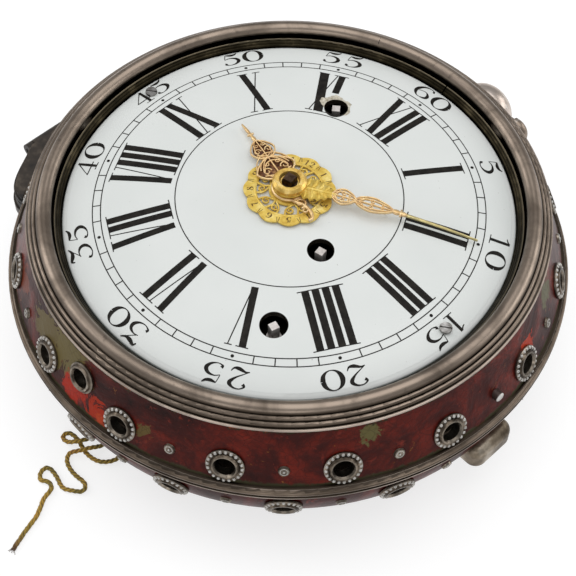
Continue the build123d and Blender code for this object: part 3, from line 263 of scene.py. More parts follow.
def enamel():
    m = Nodes("white_enamel")
    cloud = m.noise(40, 3, 0.5)
    specks = m.noise(1100, 2, 0.5)
    colour = m.ramp(cloud, [(0.3, (0.71, 0.735, 0.715)), (0.7, (0.755, 0.775, 0.755))])
    colour = m.mix(m.level(specks, 0.75, 0.8, 0.0, 0.6), colour, (0.3, 0.3, 0.28))
    # Painted light: a paler margin where the enamel's edge rolls down away from the lamps, ending in a
    # dark line of painted shade
    colour = m.mix(m.level(m.radius(), 0.0541, 0.0548), colour, (0.92, 0.94, 0.92))
    colour = m.mix(m.level(m.radius(), 0.0553, 0.0556), colour, (0.03, 0.05, 0.042))
    # Painted shade: the enamel turns near black just inside the edge of each winding hole
    for (x, y), radius in zip(WINDING_HOLES, WINDING_R):
        inside = m.level(m.radius(x, y), (radius + 0.1) * 0.001, (radius + 0.03) * 0.001)
        colour = m.mix(inside, colour, (0.012, 0.009, 0.006))
    m.set(Base_Color=colour, Roughness=0.25, Specular_IOR_Level=0.3)
    m.bump(m.noise(120, 2, 0.5), 0.05, 0.0006)
    return m.material


def metal(name, tones, rough, scale=500.0, grain=0.2, hollow=None, worn=None, metallic=1.0):
    """Plain metal: mottled between tones, darker in its hollows and brighter on its edges."""
    m = Nodes(name)
    cloud = m.noise(scale, 4, 0.6)
    colour = m.ramp(cloud, tones)
    edge = m.edges()
    if hollow:
        colour = m.mix(m.level(edge, 0.48, 0.43, 0.0, 0.85), colour, hollow)
    if worn:
        colour = m.mix(m.level(edge, 0.54, 0.62, 0.0, 0.6), colour, worn)
    rough = m.level(cloud, 0.3, 0.7, rough + 0.08, rough - 0.08)
    m.set(Base_Color=colour, Metallic=metallic, Roughness=rough)
    m.bump(cloud, grain, 0.0002)
    return m.material


def ring_brass():
    m = Nodes("ring_tarnish_and_shade")
    cloud = m.noise(160, 5, 0.6)
    # Near-black tones: tarnish, partly painted shade of the ring's place under the bezel
    tones = [(0.3, (0.009, 0.0075, 0.0045)), (0.55, (0.026, 0.021, 0.012)), (0.78, (0.1, 0.08, 0.046))]
    colour = m.ramp(cloud, tones)
    # Painted highlight: a paler line along the ring's outer top edge
    rim_highlight = m.math("MULTIPLY", m.level(m.radius(), 0.05695, 0.05715), m.level(m.height(), 0.0448, 0.0451))
    colour = m.mix(rim_highlight, colour, (0.15, 0.125, 0.085))
    m.set(Base_Color=colour, Metallic=1.0, Roughness=m.level(cloud, 0.3, 0.7, 0.48, 0.34))
    m.bump(m.noise(800, 2, 0.5), 0.2, 0.0001)
    return m.material


def plain(name, tones, scale, rough, grain=0.0, metallic=0.0, shine=0.5):
    """Finish without worn edges, mottled between tones."""
    m = Nodes(name)
    cloud = m.noise(scale, 4, 0.65)
    m.set(Base_Color=m.ramp(cloud, tones), Roughness=rough, Metallic=metallic, Specular_IOR_Level=shine)
    if grain:
        m.bump(cloud, grain, 0.0003)
    return m.material


def silk(name, shade=1.0):
    m = Nodes(name)
    cloud = m.noise(120, 4, 0.6)
    fibre = m.noise(1800, 4, 0.7)
    colour = m.ramp(cloud, [(at, tuple(shade * c for c in tone)) for at, tone in SILK_TONES])
    colour = m.mix(m.level(fibre, 0.6, 0.76), colour, tuple(shade * c for c in (0.66, 0.5, 0.16)))
    colour = m.mix(m.level(fibre, 0.42, 0.28), colour, (0.07, 0.035, 0.008))
    colour = m.mix(m.near(CORD_TIP, 5), colour, (0.09, 0.035, 0.012))
    m.set(Base_Color=colour, Roughness=0.75, Sheen_Weight=0.3)
    m.bump(fibre, 0.6, 0.0003)
    return m.material


# Worn and flaked places on the leather: where, how far in millimetres, and their tone
PATCHES = [
    ((-6.4, -64.9, 40.3), 15, (0.15, 0.115, 0.04)),
    ((-16.0, -63.0, 38.0), 11, (0.13, 0.095, 0.034)),
    ((-1.4, -68.1, 32.1), 9, (0.4, 0.02, 0.005)),
    ((6.5, -67.6, 32.0), 7, (0.38, 0.026, 0.006)),
    ((8.1, -68.6, 29.3), 5, (0.45, 0.05, 0.01)),
    ((18.9, -64.3, 35.2), 4.6, (0.13, 0.085, 0.025)),
    ((57.2, -30.5, 41.1), 5, (0.14, 0.12, 0.045)),
    ((-31.8, -58.2, 37.0), 7, (0.16, 0.03, 0.012)),
    ((64.6, 15.8, 36.5), 6, (0.42, 0.035, 0.01)),
    ((58.6, 28.2, 40.6), 7, (0.1, 0.09, 0.035)),
    ((66.0, 12.0, 31.0), 6, (0.3, 0.03, 0.01)),
]
GILT_TONES = [(0.3, (0.5, 0.29, 0.055)), (0.52, (0.82, 0.55, 0.14)), (0.72, (0.95, 0.72, 0.3))]
ROSE_TONES = [(0.3, (0.5, 0.25, 0.065)), (0.52, (0.8, 0.52, 0.19)), (0.72, (0.95, 0.77, 0.42))]
LEMON_TONES = [(0.3, (0.6, 0.38, 0.05)), (0.52, (0.78, 0.56, 0.11)), (0.72, (0.93, 0.76, 0.28))]
OLIVE_TONES = [(0.3, (0.26, 0.19, 0.05)), (0.52, (0.5, 0.39, 0.12)), (0.72, (0.7, 0.58, 0.22))]
BRASS_TONES = [(0.3, (0.075, 0.06, 0.032)), (0.55, (0.2, 0.16, 0.085)), (0.75, (0.36, 0.3, 0.16))]
BROWN_TONES = [(0.35, (0.03, 0.018, 0.012)), (0.7, (0.12, 0.075, 0.05))]
LOBE_SHADE_TONES = [(0.35, (0.03, 0.01, 0.006)), (0.52, (0.13, 0.045, 0.018)), (0.7, (0.42, 0.24, 0.09))]
INK_AND_SHADE_TONES = [(0.35, (0.009, 0.008, 0.007)), (0.75, (0.026, 0.023, 0.019))]
ENGRAVED_TONES = [(0.35, (0.07, 0.03, 0.008)), (0.75, (0.2, 0.11, 0.03))]
CHIP_TONES = [(0.35, (0.28, 0.24, 0.17)), (0.6, (0.62, 0.58, 0.48)), (0.8, (0.75, 0.72, 0.64))]
SILK_TONES = [
    (0.36, (0.17, 0.14, 0.02)), (0.46, (0.4, 0.26, 0.03)), (0.55, (0.55, 0.33, 0.04)),
    (0.66, (0.36, 0.13, 0.014)),
]
CORD_TIP = (5.3, -97.0, 0.5)
made = {
    "silver": silver("aged_silver"),
    "covering": covering(),
    "enamel": enamel(),
    "brass": metal("old_brass", BRASS_TONES, 0.4, 120),
    "gilt": metal("gilt", GILT_TONES, 0.34, hollow=(0.2, 0.09, 0.02), metallic=0.75),
    "steel": metal("polished_steel", [(0.35, (0.16, 0.15, 0.14)), (0.6, (0.42, 0.41, 0.4))], 0.32),
    "bell_metal": metal("bell_bronze", [(0.3, (0.42, 0.27, 0.1)), (0.7, (0.62, 0.43, 0.19))], 0.3, 60),
}
OXIDISED = oxidised()
RING = ring_brass()
ROSE_HOLLOW, ROSE_WORN = (0.12, 0.03, 0.012), (1.0, 0.78, 0.5)
ROSE_GILT = metal("rose_gilt", ROSE_TONES, 0.34, hollow=ROSE_HOLLOW, worn=ROSE_WORN, metallic=0.6)
LEMON_GILT = metal("lemon_gilt", LEMON_TONES, 0.42, hollow=(0.25, 0.13, 0.02), metallic=0.4)
OLIVE_GILT = metal("olive_gilt", OLIVE_TONES, 0.34, worn=(0.85, 0.75, 0.4), metallic=0.7)
DARK_STEEL = metal("browned_steel", BROWN_TONES, 0.36, 700)
LOBE_SHADE = plain("lobe_painted_shade", LOBE_SHADE_TONES, 900, 0.5, 0.3, 0.5)
INK_AND_SHADE = plain("fired_black_and_shade", INK_AND_SHADE_TONES, 600, 0.5, shine=0.1)
ENGRAVED = plain("engraved_line", ENGRAVED_TONES, 900, 0.5, 0.0, 0.4)
CHIP = plain("chipped_ground", CHIP_TONES, 900, 0.8, 0.5)
SILK = silk("twisted_silk")
# The same silk at half brightness for the core between the strands: painted shade in the twist's grooves
SHADED_SILK_CORE = silk("shaded_silk_core", 0.5)
BRIGHT = metal("bright_silver", [(0.35, (0.42, 0.4, 0.37)), (0.7, (0.62, 0.6, 0.57))], 0.4, metallic=0.6)
SQUARE = metal("bright_steel", [(0.35, (0.5, 0.46, 0.43)), (0.7, (0.78, 0.74, 0.71))], 0.4, metallic=0.5)
# Painted shade: the movement's front plate is near black
PLATE_SHADE = metal("plate_painted_shade", [(0.35, (0.004, 0.0035, 0.003)), (0.75, (0.02, 0.017, 0.01))], 0.5)
DULL_BRASS = metal("dull_brass", [(0.35, (0.02, 0.016, 0.01)), (0.75, (0.07, 0.056, 0.033))], 0.5)
HINGE_TONES = [(0.36, (0.012, 0.009, 0.007)), (0.52, (0.038, 0.028, 0.02)), (0.68, (0.12, 0.095, 0.07))]
HINGE = metal("dark_hinge", HINGE_TONES, 0.5, 130, 0.4, metallic=0.25)
THUMB_TONES = [(0.34, (0.07, 0.053, 0.037)), (0.5, (0.21, 0.17, 0.125)), (0.68, (0.5, 0.44, 0.36))]
THUMB = metal("thumb_silver", THUMB_TONES, 0.42, 130, 0.3)

# Tones of the mouldings, the same grey on each bead, dark in the grooves and paler on the crests:
# tarnish and wear, partly painted shade and painted highlight. The black at the bezel's inner wall is
# painted shade.
BEZEL_TONES = [
    (57.78, 0.03), (57.9, 0.3), (61.2, 0.3), (61.45, 0.08), (61.58, 0.02), (61.68, 0.02),
    (61.9, 0.2), (62.2, 0.3), (62.5, 0.16), (62.66, 0.02), (62.85, 0.2), (63.2, 0.3), (63.55, 0.14),
    (63.74, 0.02), (63.95, 0.16), (64.06, 0.45), (64.3, 0.45),
]
RIM_TONES = [
    (25.6, 0.04), (25.84, 0.45), (26.26, 0.45), (26.46, 0.02), (26.95, 0.02), (27.08, 0.3), (27.2, 0.45),
    (27.4, 0.3), (27.6, 0.18), (28.2, 0.18), (28.5, 0.45), (28.8, 0.45), (28.84, 0.04), (29.6, 0.04),
]
BEZEL_SILVER = silver("bezel_silver", profile=("radius", BEZEL_TONES))
RIM_SILVER = silver("rim_silver", profile=("height", RIM_TONES))
PALE_SILVER = silver("pale_silver", 1.7)


def button_silver():
    """A pale face, and dark sides that are painted shade."""
    m = Nodes("button_silver")
    face = max(corner[0] for corner in nodes["push_button"].bound_box)
    pale = m.level(m.height("X"), face - 0.0004, face - 0.0002)
    grain = m.noise(700, 3, 0.6)
    colour = m.mix(m.level(grain, 0.4, 0.7), (0.8, 0.78, 0.75), (0.55, 0.53, 0.5))
    m.set(Base_Color=m.mix(pale, (0.05, 0.03, 0.025), colour), Metallic=0.4, Roughness=0.4)
    return m.material


finishes_of = [
    (DARK_STEEL, ["cannon_pinion"]),
    (RING, ["dial_ring"]),
    (button_silver(), ["push_button"]),
    (BEZEL_SILVER, ["bezel"]),
    (RIM_SILVER, ["front_rim", "back_rim"]),
    (PALE_SILVER, ["pendant"]),
    (THUMB, ["thumb_piece"]),
    (HINGE, ["hinge_back_leaf", "hinge_front_leaf", "hinge_pin"]),
    (DULL_BRASS, ["front_shell", "back_shell"]),
    (SQUARE, ["alarm_arbor", "going_arbor", "strike_arbor"]),
    (PLATE_SHADE, ["front_plate"]),
    (OXIDISED, ["front_eyelets", "back_eyelets", "front_pins", "back_pins", "band_grommet"]),
]
finish_of = {name: finish for finish, names in finishes_of for name in names}
slot_of = {s["node"]: s.get("material_slot", s["node"]) for s in frame["record"]["subparts"]}
for name, node in nodes.items():
    node.data.materials.clear()
    node.data.materials.append(finish_of.get(name) or made.get(slot_of.get(name), made["steel"]))


def show(name, data):
    """New object in the scene."""
    obj = bpy.data.objects.new(name, data)
    bpy.context.scene.collection.objects.link(obj)
    return obj


def make(name, shape, material, body, smooth=False):
    """Mesh piece from a shape in millimetres. With several materials, its tones give each face's."""
    mesh = bpy.data.meshes.new(name)
    mesh.from_pydata([(x * 0.001, y * 0.001, z * 0.001) for x, y, z in shape.verts], [], shape.faces)
    mesh.validate()
    mesh.update()
    if smooth:
        mesh.polygons.foreach_set("use_smooth", [True] * len(mesh.polygons))
    obj = show(name, mesh)
    several = isinstance(material, list)
    for one in material if several else [material]:
        mesh.materials.append(one)
    if several:
        mesh.polygons.foreach_set("material_index", shape.tones)
    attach(obj, body)
    return obj


def between(a, b, c, d, t):
    """Value a share t of the way from b to c, on a smooth curve through all four."""
    square, cube = 2 * a - 5 * b + 4 * c - d, 3 * b - a - 3 * c + d
    return 0.5 * (2 * b + (c - a) * t + square * t**2 + cube * t**3)


def flow(points, steps=8):
    """Smooth path through (u, v, half width) points."""
    out = []
    n = len(points)
    for i in range(n - 1):
        four = (points[max(i - 1, 0)], points[i], points[i + 1], points[min(i + 2, n - 1)])
        for s in range(steps):
            out.append(tuple(between(*values, s / steps) for values in zip(*four)))
    out.append(tuple(points[-1]))
    return out


def sides(path):
    """Left edge, middle and right edge of a ribbon along a path."""
    edges = []
    for i, (u, v, w) in enumerate(path):
        a = path[max(i - 1, 0)]
        b = path[min(i + 1, len(path) - 1)]
        du, dv = b[0] - a[0], b[1] - a[1]
        size = math.hypot(du, dv) or 1.0
        nu, nv = -dv / size * w, du / size * w
        edges.append(((u + nu, v + nv), (u, v), (u - nu, v - nv)))
    return edges


def circle(radius, half, count):
    return [(*polar(radius, 360 * k / count), half) for k in range(count + 1)]


def across(ahead):
    """Two directions square to a line's."""
    side = ahead.cross(Vector((0, 0, 1))).normalized()
    return side, side.cross(ahead)


def swing(side, other, angle):
    return math.cos(angle) * side + math.sin(angle) * other


class Flat:
    """Printed shapes, laid on a surface by a function of two coordinates."""

    def __init__(self):
        self.verts = []
        self.faces = []

    def ribbon(self, path, place):
        base = len(self.verts)
        for left, _, right in sides(path):
            self.verts += [place(*left), place(*right)]
        for i in range(len(path) - 1):
            a = base + 2 * i
            self.faces.append((a, a + 1, a + 3, a + 2))

    def line(self, a, b, half, place, steps=6):
        shares = [k / steps for k in range(steps + 1)]
        path = [(a[0] + (b[0] - a[0]) * t, a[1] + (b[1] - a[1]) * t, half) for t in shares]
        self.ribbon(path, place)

    def disc(self, u, v, radius, place, count=16):
        base = len(self.verts)
        for k in range(count):
            du, dv = polar(radius, 360 * k / count)
            self.verts.append(place(u + du, v + dv))
        self.faces.append(tuple(range(base, base + count)))

    def ring(self, radius, half, place, count=240):
        self.ribbon(circle(radius, half, count), place)


class Relief(Flat):
    """Strokes with a rounded top, for pierced and chased metal. tone is the material of what follows."""

    def __init__(self):
        super().__init__()
        self.tones = []
        self.tone = 0

    def face(self, *corners):
        self.faces.append(corners)
        self.tones.append(self.tone)

    def stroke(self, path, place, low, top, crown=0.3):
        """place(u, v) gives x, y and the height of the surface; low and top are added to it."""
        base = len(self.verts)
        lifts = (low, top, top + crown, top, low)
        for left, middle, right in sides(path):
            for (u, v), lift in zip((left, left, middle, right, right), lifts):
                x, y, z = place(u, v)
                self.verts.append((x, y, z + lift))
        n = len(path)
        for i in range(n - 1):
            a = base + 5 * i
            for k in range(5):
                j = (k + 1) % 5
                self.face(a + k, a + j, a + 5 + j, a + 5 + k)
        self.face(*(base + k for k in range(4, -1, -1)))
        self.face(*(base + 5 * (n - 1) + k for k in range(5)))

    def plate(self, outline, place, low, top):
        """Thin flat piece inside a closed outline."""
        base = len(self.verts)
        n = len(outline)
        for u, v in outline:
            x, y, z = place(u, v)
            self.verts += [(x, y, z + low), (x, y, z + top)]
        for k in range(n):
            a, b = base + 2 * k, base + 2 * ((k + 1) % n)
            self.face(a, a + 1, b + 1, b)
        self.face(*(base + 2 * k + 1 for k in range(n - 1, -1, -1)))
        self.face(*(base + 2 * k for k in range(n)))

    def bead(self, centre, out, radius, rings=4, count=8):
        """Half ball standing on a surface."""
        out = Vector(out).normalized()
        side = out.orthogonal().normalized()
        other = out.cross(side)
        base = len(self.verts)
        for i in range(rings):
            a = math.pi / 2 * i / rings
            for k in range(count):
                t = 2 * math.pi * k / count
                p = Vector(centre) + radius * (math.cos(a) * swing(side, other, t) + math.sin(a) * out)
                self.verts.append(tuple(p))
        self.verts.append(tuple(Vector(centre) + radius * out))
        for i in range(rings - 1):
            for k in range(count):
                j = (k + 1) % count
                a = base + i * count
                self.face(a + k, a + j, a + count + j, a + count + k)
        last = base + (rings - 1) * count
        for k in range(count):
            self.face(last + k, last + (k + 1) % count, base + rings * count)


def tube(shape, path, half, count=6):
    """Round strand along a line."""
    verts, faces = shape.verts, shape.faces
    base = len(verts)
    for i, point in enumerate(path):
        ahead = (path[min(i + 1, len(path) - 1)] - path[max(i - 1, 0)]).normalized()
        side, other = across(ahead)
        for k in range(count):
            verts.append(tuple(point + half * swing(side, other, 2 * math.pi * k / count)))
    for i in range(len(path) - 1):
        for k in range(count):
            a, b = base + i * count + k, base + i * count + (k + 1) % count
            faces.append((a, a + count, b + count, b))
    faces.append(tuple(base + k for k in range(count)))
    faces.append(tuple(base + (len(path) - 1) * count + k for k in range(count - 1, -1, -1)))


# Printing on the dial
INK_LIFT = 0.02


def on_dial(angle):
    """Coordinates with v outwards along a radius and u clockwise, laid on the dome."""
    cx, cy = polar(1, angle)

    def place(u, v):
        x, y = cx * v + cy * u, cy * v - cx * u
        return (x, y, dial_top(math.hypot(x, y)) + INK_LIFT)

    return place


# Strokes of the figures, each point with its half width, in a box half as wide as it is high
ZERO_TURNS = [2 * math.pi * k / 12 for k in range(13)]
ZERO = [
    (0.27 + 0.235 * math.cos(t), 0.5 + 0.47 * math.sin(t), 0.014 + 0.062 * math.cos(t) ** 2)
    for t in ZERO_TURNS
]
DIGITS = {
    "0": [ZERO],
    "1": [
        [(0.28, 0.02, 0.052), (0.28, 0.5, 0.052), (0.28, 0.98, 0.05)],
        [(0.12, 0.8, 0.012), (0.2, 0.86, 0.02), (0.28, 0.97, 0.02)],
        [(0.14, 0.015, 0.014), (0.42, 0.015, 0.014)],
    ],
    "2": [
        [
            (0.14, 0.72, 0.05), (0.09, 0.82, 0.03), (0.2, 0.96, 0.016), (0.36, 0.94, 0.03),
            (0.46, 0.76, 0.062), (0.36, 0.5, 0.03), (0.2, 0.28, 0.015), (0.06, 0.1, 0.014),
        ],
        [
            (0.06, 0.1, 0.014), (0.16, 0.14, 0.03), (0.32, 0.05, 0.055), (0.44, 0.06, 0.03),
            (0.5, 0.22, 0.012),
        ],
    ],
    "3": [
        [
            (0.04, 0.86, 0.02), (0.08, 1.0, 0.035), (0.22, 0.93, 0.06), (0.36, 0.93, 0.04),
            (0.48, 1.08, 0.014),
        ],
        [(0.48, 1.08, 0.012), (0.32, 0.8, 0.012), (0.2, 0.58, 0.014)],
        [
            (0.16, 0.55, 0.012), (0.3, 0.6, 0.02), (0.44, 0.5, 0.045), (0.48, 0.28, 0.058),
            (0.38, 0.06, 0.03), (0.22, -0.02, 0.014), (0.08, 0.07, 0.03), (0.1, 0.18, 0.045),
        ],
    ],
    "4": [
        [(0.38, 0.98, 0.02), (0.2, 0.62, 0.014), (0.04, 0.28, 0.012)],
        [(0.03, 0.28, 0.018), (0.5, 0.28, 0.018)],
        [(0.37, 0.98, 0.045), (0.37, 0.5, 0.052), (0.37, 0.02, 0.05)],
        [(0.24, 0.015, 0.014), (0.5, 0.015, 0.014)],
    ],
    "5": [
        [(0.15, 0.94, 0.014), (0.12, 0.74, 0.012), (0.1, 0.54, 0.012)],
        [
            (0.1, 0.54, 0.012), (0.24, 0.62, 0.02), (0.4, 0.54, 0.045), (0.47, 0.32, 0.062),
            (0.38, 0.1, 0.035), (0.22, 0.02, 0.014), (0.1, 0.1, 0.03), (0.12, 0.2, 0.05),
        ],
        [(0.15, 0.93, 0.02), (0.28, 0.87, 0.05), (0.4, 0.9, 0.04), (0.48, 1.02, 0.012)],
    ],
    "6": [
        [
            (0.44, 0.84, 0.045), (0.46, 0.9, 0.03), (0.36, 0.98, 0.014), (0.18, 0.88, 0.035),
            (0.07, 0.6, 0.06), (0.07, 0.3, 0.06), (0.18, 0.06, 0.025), (0.3, 0.02, 0.014),
            (0.45, 0.14, 0.05), (0.47, 0.32, 0.058), (0.38, 0.52, 0.025), (0.26, 0.56, 0.012),
            (0.12, 0.44, 0.014),
        ],
    ],
    "7": [
        [(0.06, 0.86, 0.014), (0.12, 0.98, 0.035), (0.3, 0.93, 0.05), (0.46, 0.99, 0.02)],
        [(0.46, 0.99, 0.014), (0.3, 0.6, 0.03), (0.22, 0.02, 0.055)],
    ],
    "8": [
        [
            (0.42, 0.86, 0.04), (0.27, 0.98, 0.014), (0.12, 0.84, 0.04), (0.2, 0.6, 0.05),
            (0.4, 0.42, 0.055), (0.46, 0.2, 0.045), (0.27, 0.02, 0.014), (0.08, 0.2, 0.04),
            (0.16, 0.46, 0.014), (0.36, 0.62, 0.014), (0.42, 0.86, 0.03),
        ],
    ],
    "9": [
        [
            (0.1, 0.16, 0.045), (0.08, 0.1, 0.03), (0.18, 0.02, 0.014), (0.36, 0.12, 0.035),
            (0.47, 0.4, 0.06), (0.47, 0.7, 0.06), (0.36, 0.94, 0.025), (0.24, 0.98, 0.014),
            (0.09, 0.86, 0.05), (0.07, 0.68, 0.058), (0.16, 0.48, 0.025), (0.28, 0.44, 0.012),
            (0.42, 0.56, 0.014),
        ],
    ],
}


def write(flat, text, place, base, height, width, pen, gap=0.08):
    """Digits side by side, centred at u = 0, standing on v = base."""
    step = 0.54 + gap
    start = -step * len(text) / 2 * width
    for i, digit in enumerate(text):
        left = start + (i * step + gap / 2) * width
        for stroke in DIGITS[digit]:
            points = [(left + u * width, base + v * height, w * pen) for u, v, w in stroke]
            flat.ribbon(flow(points, 6), place)


BROKEN_FOOT = 37.0


def roman(flat, text, place, low, high):
    """Roman numeral between two radii, centred at u = 0. The I of XI is broken off above its hole."""
    stem, hair, serif = 0.9, 0.14, 0.13
    widths = {"I": 2.5, "V": 4.9, "X": 5.4}
    at = -sum(widths[c] for c in text) / 2
    for i, c in enumerate(text):
        w = widths[c]
        if c == "I":
            u = at + w / 2 - (0.9 if text == "XI" else 0)
            fan = 0.06 * u
            foot = BROKEN_FOOT if text == "XI" else low
            flat.line((u - fan / 2, foot), (u + fan / 2, high), stem, place, 10)
            first = i == 0 or text[i - 1] != "I"
            last = i == len(text) - 1 or text[i + 1] != "I"
            left = u - stem - (0.9 if first else 0.8)
            right = u + stem + (0.9 if last else 0.8)
            for v in (foot, high):
                if v != BROKEN_FOOT:
                    flat.line((left, v), (right, v), serif, place, 4)
        elif c == "V":
            foot = at + w * 0.5
            flat.line((at + 0.9, high), (foot, low), stem * 0.95, place, 10)
            flat.line((at + w - 0.5, high), (foot + 0.35, low), hair, place, 10)
            flat.line((at - 0.5, high), (at + 2.5, high), serif, place, 4)
            flat.line((at + w - 1.5, high), (at + w + 0.3, high), serif, place, 4)
        else:
            wide = (1.2, 2.2) if text == "XI" else (stem * 0.95, 1.2)
            flat.line((at + 1.0, high), (at + w - wide[1], low), wide[0], place, 10)
            flat.line((at + w - 0.8, high), (at + 0.8, low), hair, place, 10)
            heavy = [(high, -0.4, 2.4), (low, w - 2.5, w + 0.2)]
            light = [(high, w - 1.7, w + 0.3), (low, -0.2, 1.7)]
            for v, a, b in heavy + light:
                flat.line((at + a, v), (at + b, v), serif, place, 4)
        at += w


prints = Flat()


def straight(u, v):
    return (u, v, dial_top(math.hypot(u, v)) + INK_LIFT)


DOTS_R, TRACK_R, HOUR_RING_R = 47.0, (46.0, 48.0), 27.8
for radius in (*TRACK_R, HOUR_RING_R):
    prints.ring(radius, 0.13, straight)
for minute in range(60):
    place = on_dial(90 - 6 * minute)
    if minute % 5:
        prints.line((0, TRACK_R[0]), (0, TRACK_R[1]), 0.14, place, 2)
    else:
        prints.disc(0, DOTS_R, 0.42, place)
HOURS = ["XII", "I", "II", "III", "IIII", "V", "VI", "VII", "VIII", "IX", "X", "XI"]
for hour, text in enumerate(HOURS):
    roman(prints, text, on_dial(90 - 30 * hour), 28.9, 44.4)
    minutes = str(5 * hour or 60)
    write(prints, minutes, on_dial(90 - 30 * hour), 49.3, 5.1, 9.6, 8.0)
make("dial_numerals", prints, INK_AND_SHADE, "back_case")

# Chipped enamel round the upper winding hole, and a dark crescent of painted shade below the hole
random.seed(7)
CHIP_AT, HOLE_EDGE = polar(31.9, 113.9), 3.02


def bump_at(angle, middle_angle, width):
    off = (angle - middle_angle + 180) % 360 - 180
    return math.exp(-((off / width) ** 2))


def collar(flat, reach, lift):
    """Ring from the hole's edge out to a reach given by angle."""
    base = len(flat.verts)
    for k in range(72):
        a = 5 * k
        for radius in (HOLE_EDGE, HOLE_EDGE + reach(a)):
            du, dv = polar(radius, a)
            x, y = CHIP_AT[0] + du, CHIP_AT[1] + dv
            flat.verts.append((x, y, dial_top(math.hypot(x, y)) + lift))
    for k in range(72):
        a, b = base + 2 * k, base + 2 * ((k + 1) % 72)
        flat.faces.append((a, a + 1, b + 1, b))


def chip_reach(a):
    size = 2.2 * bump_at(a, 185, 26) + 1.9 * bump_at(a, 132, 26) + 1.2 * bump_at(a, 70, 22)
    size += 1.0 * bump_at(a, 10, 30)
    return 0.02 + size * random.uniform(0.78, 1.1)


chips, shade = Flat(), Flat()
collar(chips, chip_reach, 0.04)
# Painted shade: a dark crescent at one side of the hole
collar(shade, lambda a: 0.02 + 0.75 * bump_at(a, 305, 50), 0.05)
make("enamel_chip", chips, CHIP, "back_case")
make("hole_painted_shade", shade, INK_AND_SHADE, "back_case")

# Studs: the back's are left out at the hinge, the thumb-piece and the pendant
STUD_STEP, HINGE_GAP = 22.5, 34.6
stations = [STUD_STEP * k for k in range(16)]
front_angles = [a + STUD_STEP / 2 for a in stations]
back_angles = [a for a in stations if a not in (0, 90) and abs(a - 180) > HINGE_GAP]
front_pin_angles = [a for a in stations if a not in (0, 270)]
back_pin_angles = [a for a in front_angles if abs(a - 180) > HINGE_GAP]
TURNS = [2 * math.pi * k / 20 for k in range(21)]
FRONT_TILT = math.degrees(math.atan2(BAND_FOOT[0] - BAND_TOP[0], BAND_TOP[1] - BAND_FOOT[1]))
FRONT_Z = TRACK_Z - 12.6
BACK_Z = SPLIT_Z - 7.8
BACK_TILT = -math.degrees(math.asin((WALL_CENTRE_Z - BACK_Z) / WALL_ARC_R))


def stud_frame(angle, radius, z, tilt):
    """Centre, tangent, upward direction and outward normal of a place on the wall."""
    a, t = math.radians(angle), math.radians(tilt)
    out = Vector((math.cos(a) * math.cos(t), math.sin(a) * math.cos(t), math.sin(t)))
    side = Vector((-math.sin(a), math.cos(a), 0))
    return Vector((*polar(radius, angle), z)), side, side.cross(out) * -1, out


def rosettes(name, places, body):
    """Beads round each eyelet."""
    beads = Relief()
    for centre, side, up, out in places:
        for t in TURNS[:-1]:
            beads.bead(centre + 4.0 * swing(side, up, t) + 0.5 * out, out, 0.48)
    make(name, beads, BRIGHT, body, smooth=True)


def front_row(angles):
    return [stud_frame(a, band_radius(FRONT_Z), FRONT_Z, FRONT_TILT) for a in angles]


def back_row(angles):
    return [stud_frame(a, bowl_radius(BACK_Z), BACK_Z, BACK_TILT) for a in angles]


rosettes("front_beads", front_row(front_angles), "front_case")
rosettes("back_beads", back_row(back_angles), "back_case")


def nail_marks(name, places, body):
    """A bright dot in a ring on each round-headed pin."""
    marks = Relief()
    for centre, side, up, out in places:
        marks.bead(centre + 0.55 * out, out, 0.3)
        tube(marks, [centre + 0.88 * swing(side, up, t) + 0.52 * out for t in TURNS], 0.1)
    make(name, marks, BRIGHT, body, smooth=True)


nail_marks("front_pin_marks", front_row(front_pin_angles), "front_case")
nail_marks("back_pin_marks", back_row(back_pin_angles), "back_case")


def bent(root, middle, tip):
    """Height of a strip bent through three points, by radius."""
    (x1, y1), (x2, y2), (x3, y3) = root, middle, tip
    d = 2 * (x1 * (y2 - y3) + x2 * (y3 - y1) + x3 * (y1 - y2))
    ux = ((x1**2 + y1**2) * (y2 - y3) + (x2**2 + y2**2) * (y3 - y1) + (x3**2 + y3**2) * (y1 - y2)) / d
    uy = ((x1**2 + y1**2) * (x3 - x2) + (x2**2 + y2**2) * (x1 - x3) + (x3**2 + y3**2) * (x2 - x1)) / d
    r = math.hypot(x1 - ux, y1 - uy)

    def height(x):
        if x <= x1:
            return y1
        return uy + math.sqrt(max(r * r - (x - ux) ** 2, 0.0))

    return height


def along(angle, height):
    """u along a hand, v to its left, on the bent strip."""
    c, s = polar(1, angle)

    def place(u, v):
        return (c * u - s * v, s * u + c * v, height(u))

    return place


def scroll(relief, place, u, v, size, turn, way, half, low=0.0, top=0.5):
    """A C-scroll: a hook that curls into itself."""
    points = []
    for k in range(11):
        t = k / 10
        a = math.radians(turn + way * 400 * t)
        r = size * (1 - 0.72 * t)
        points.append((u + r * math.cos(a), v + r * math.sin(a), half * (1 - 0.45 * t)))
    relief.stroke(flow(points, 3), place, low, top, 0.12)


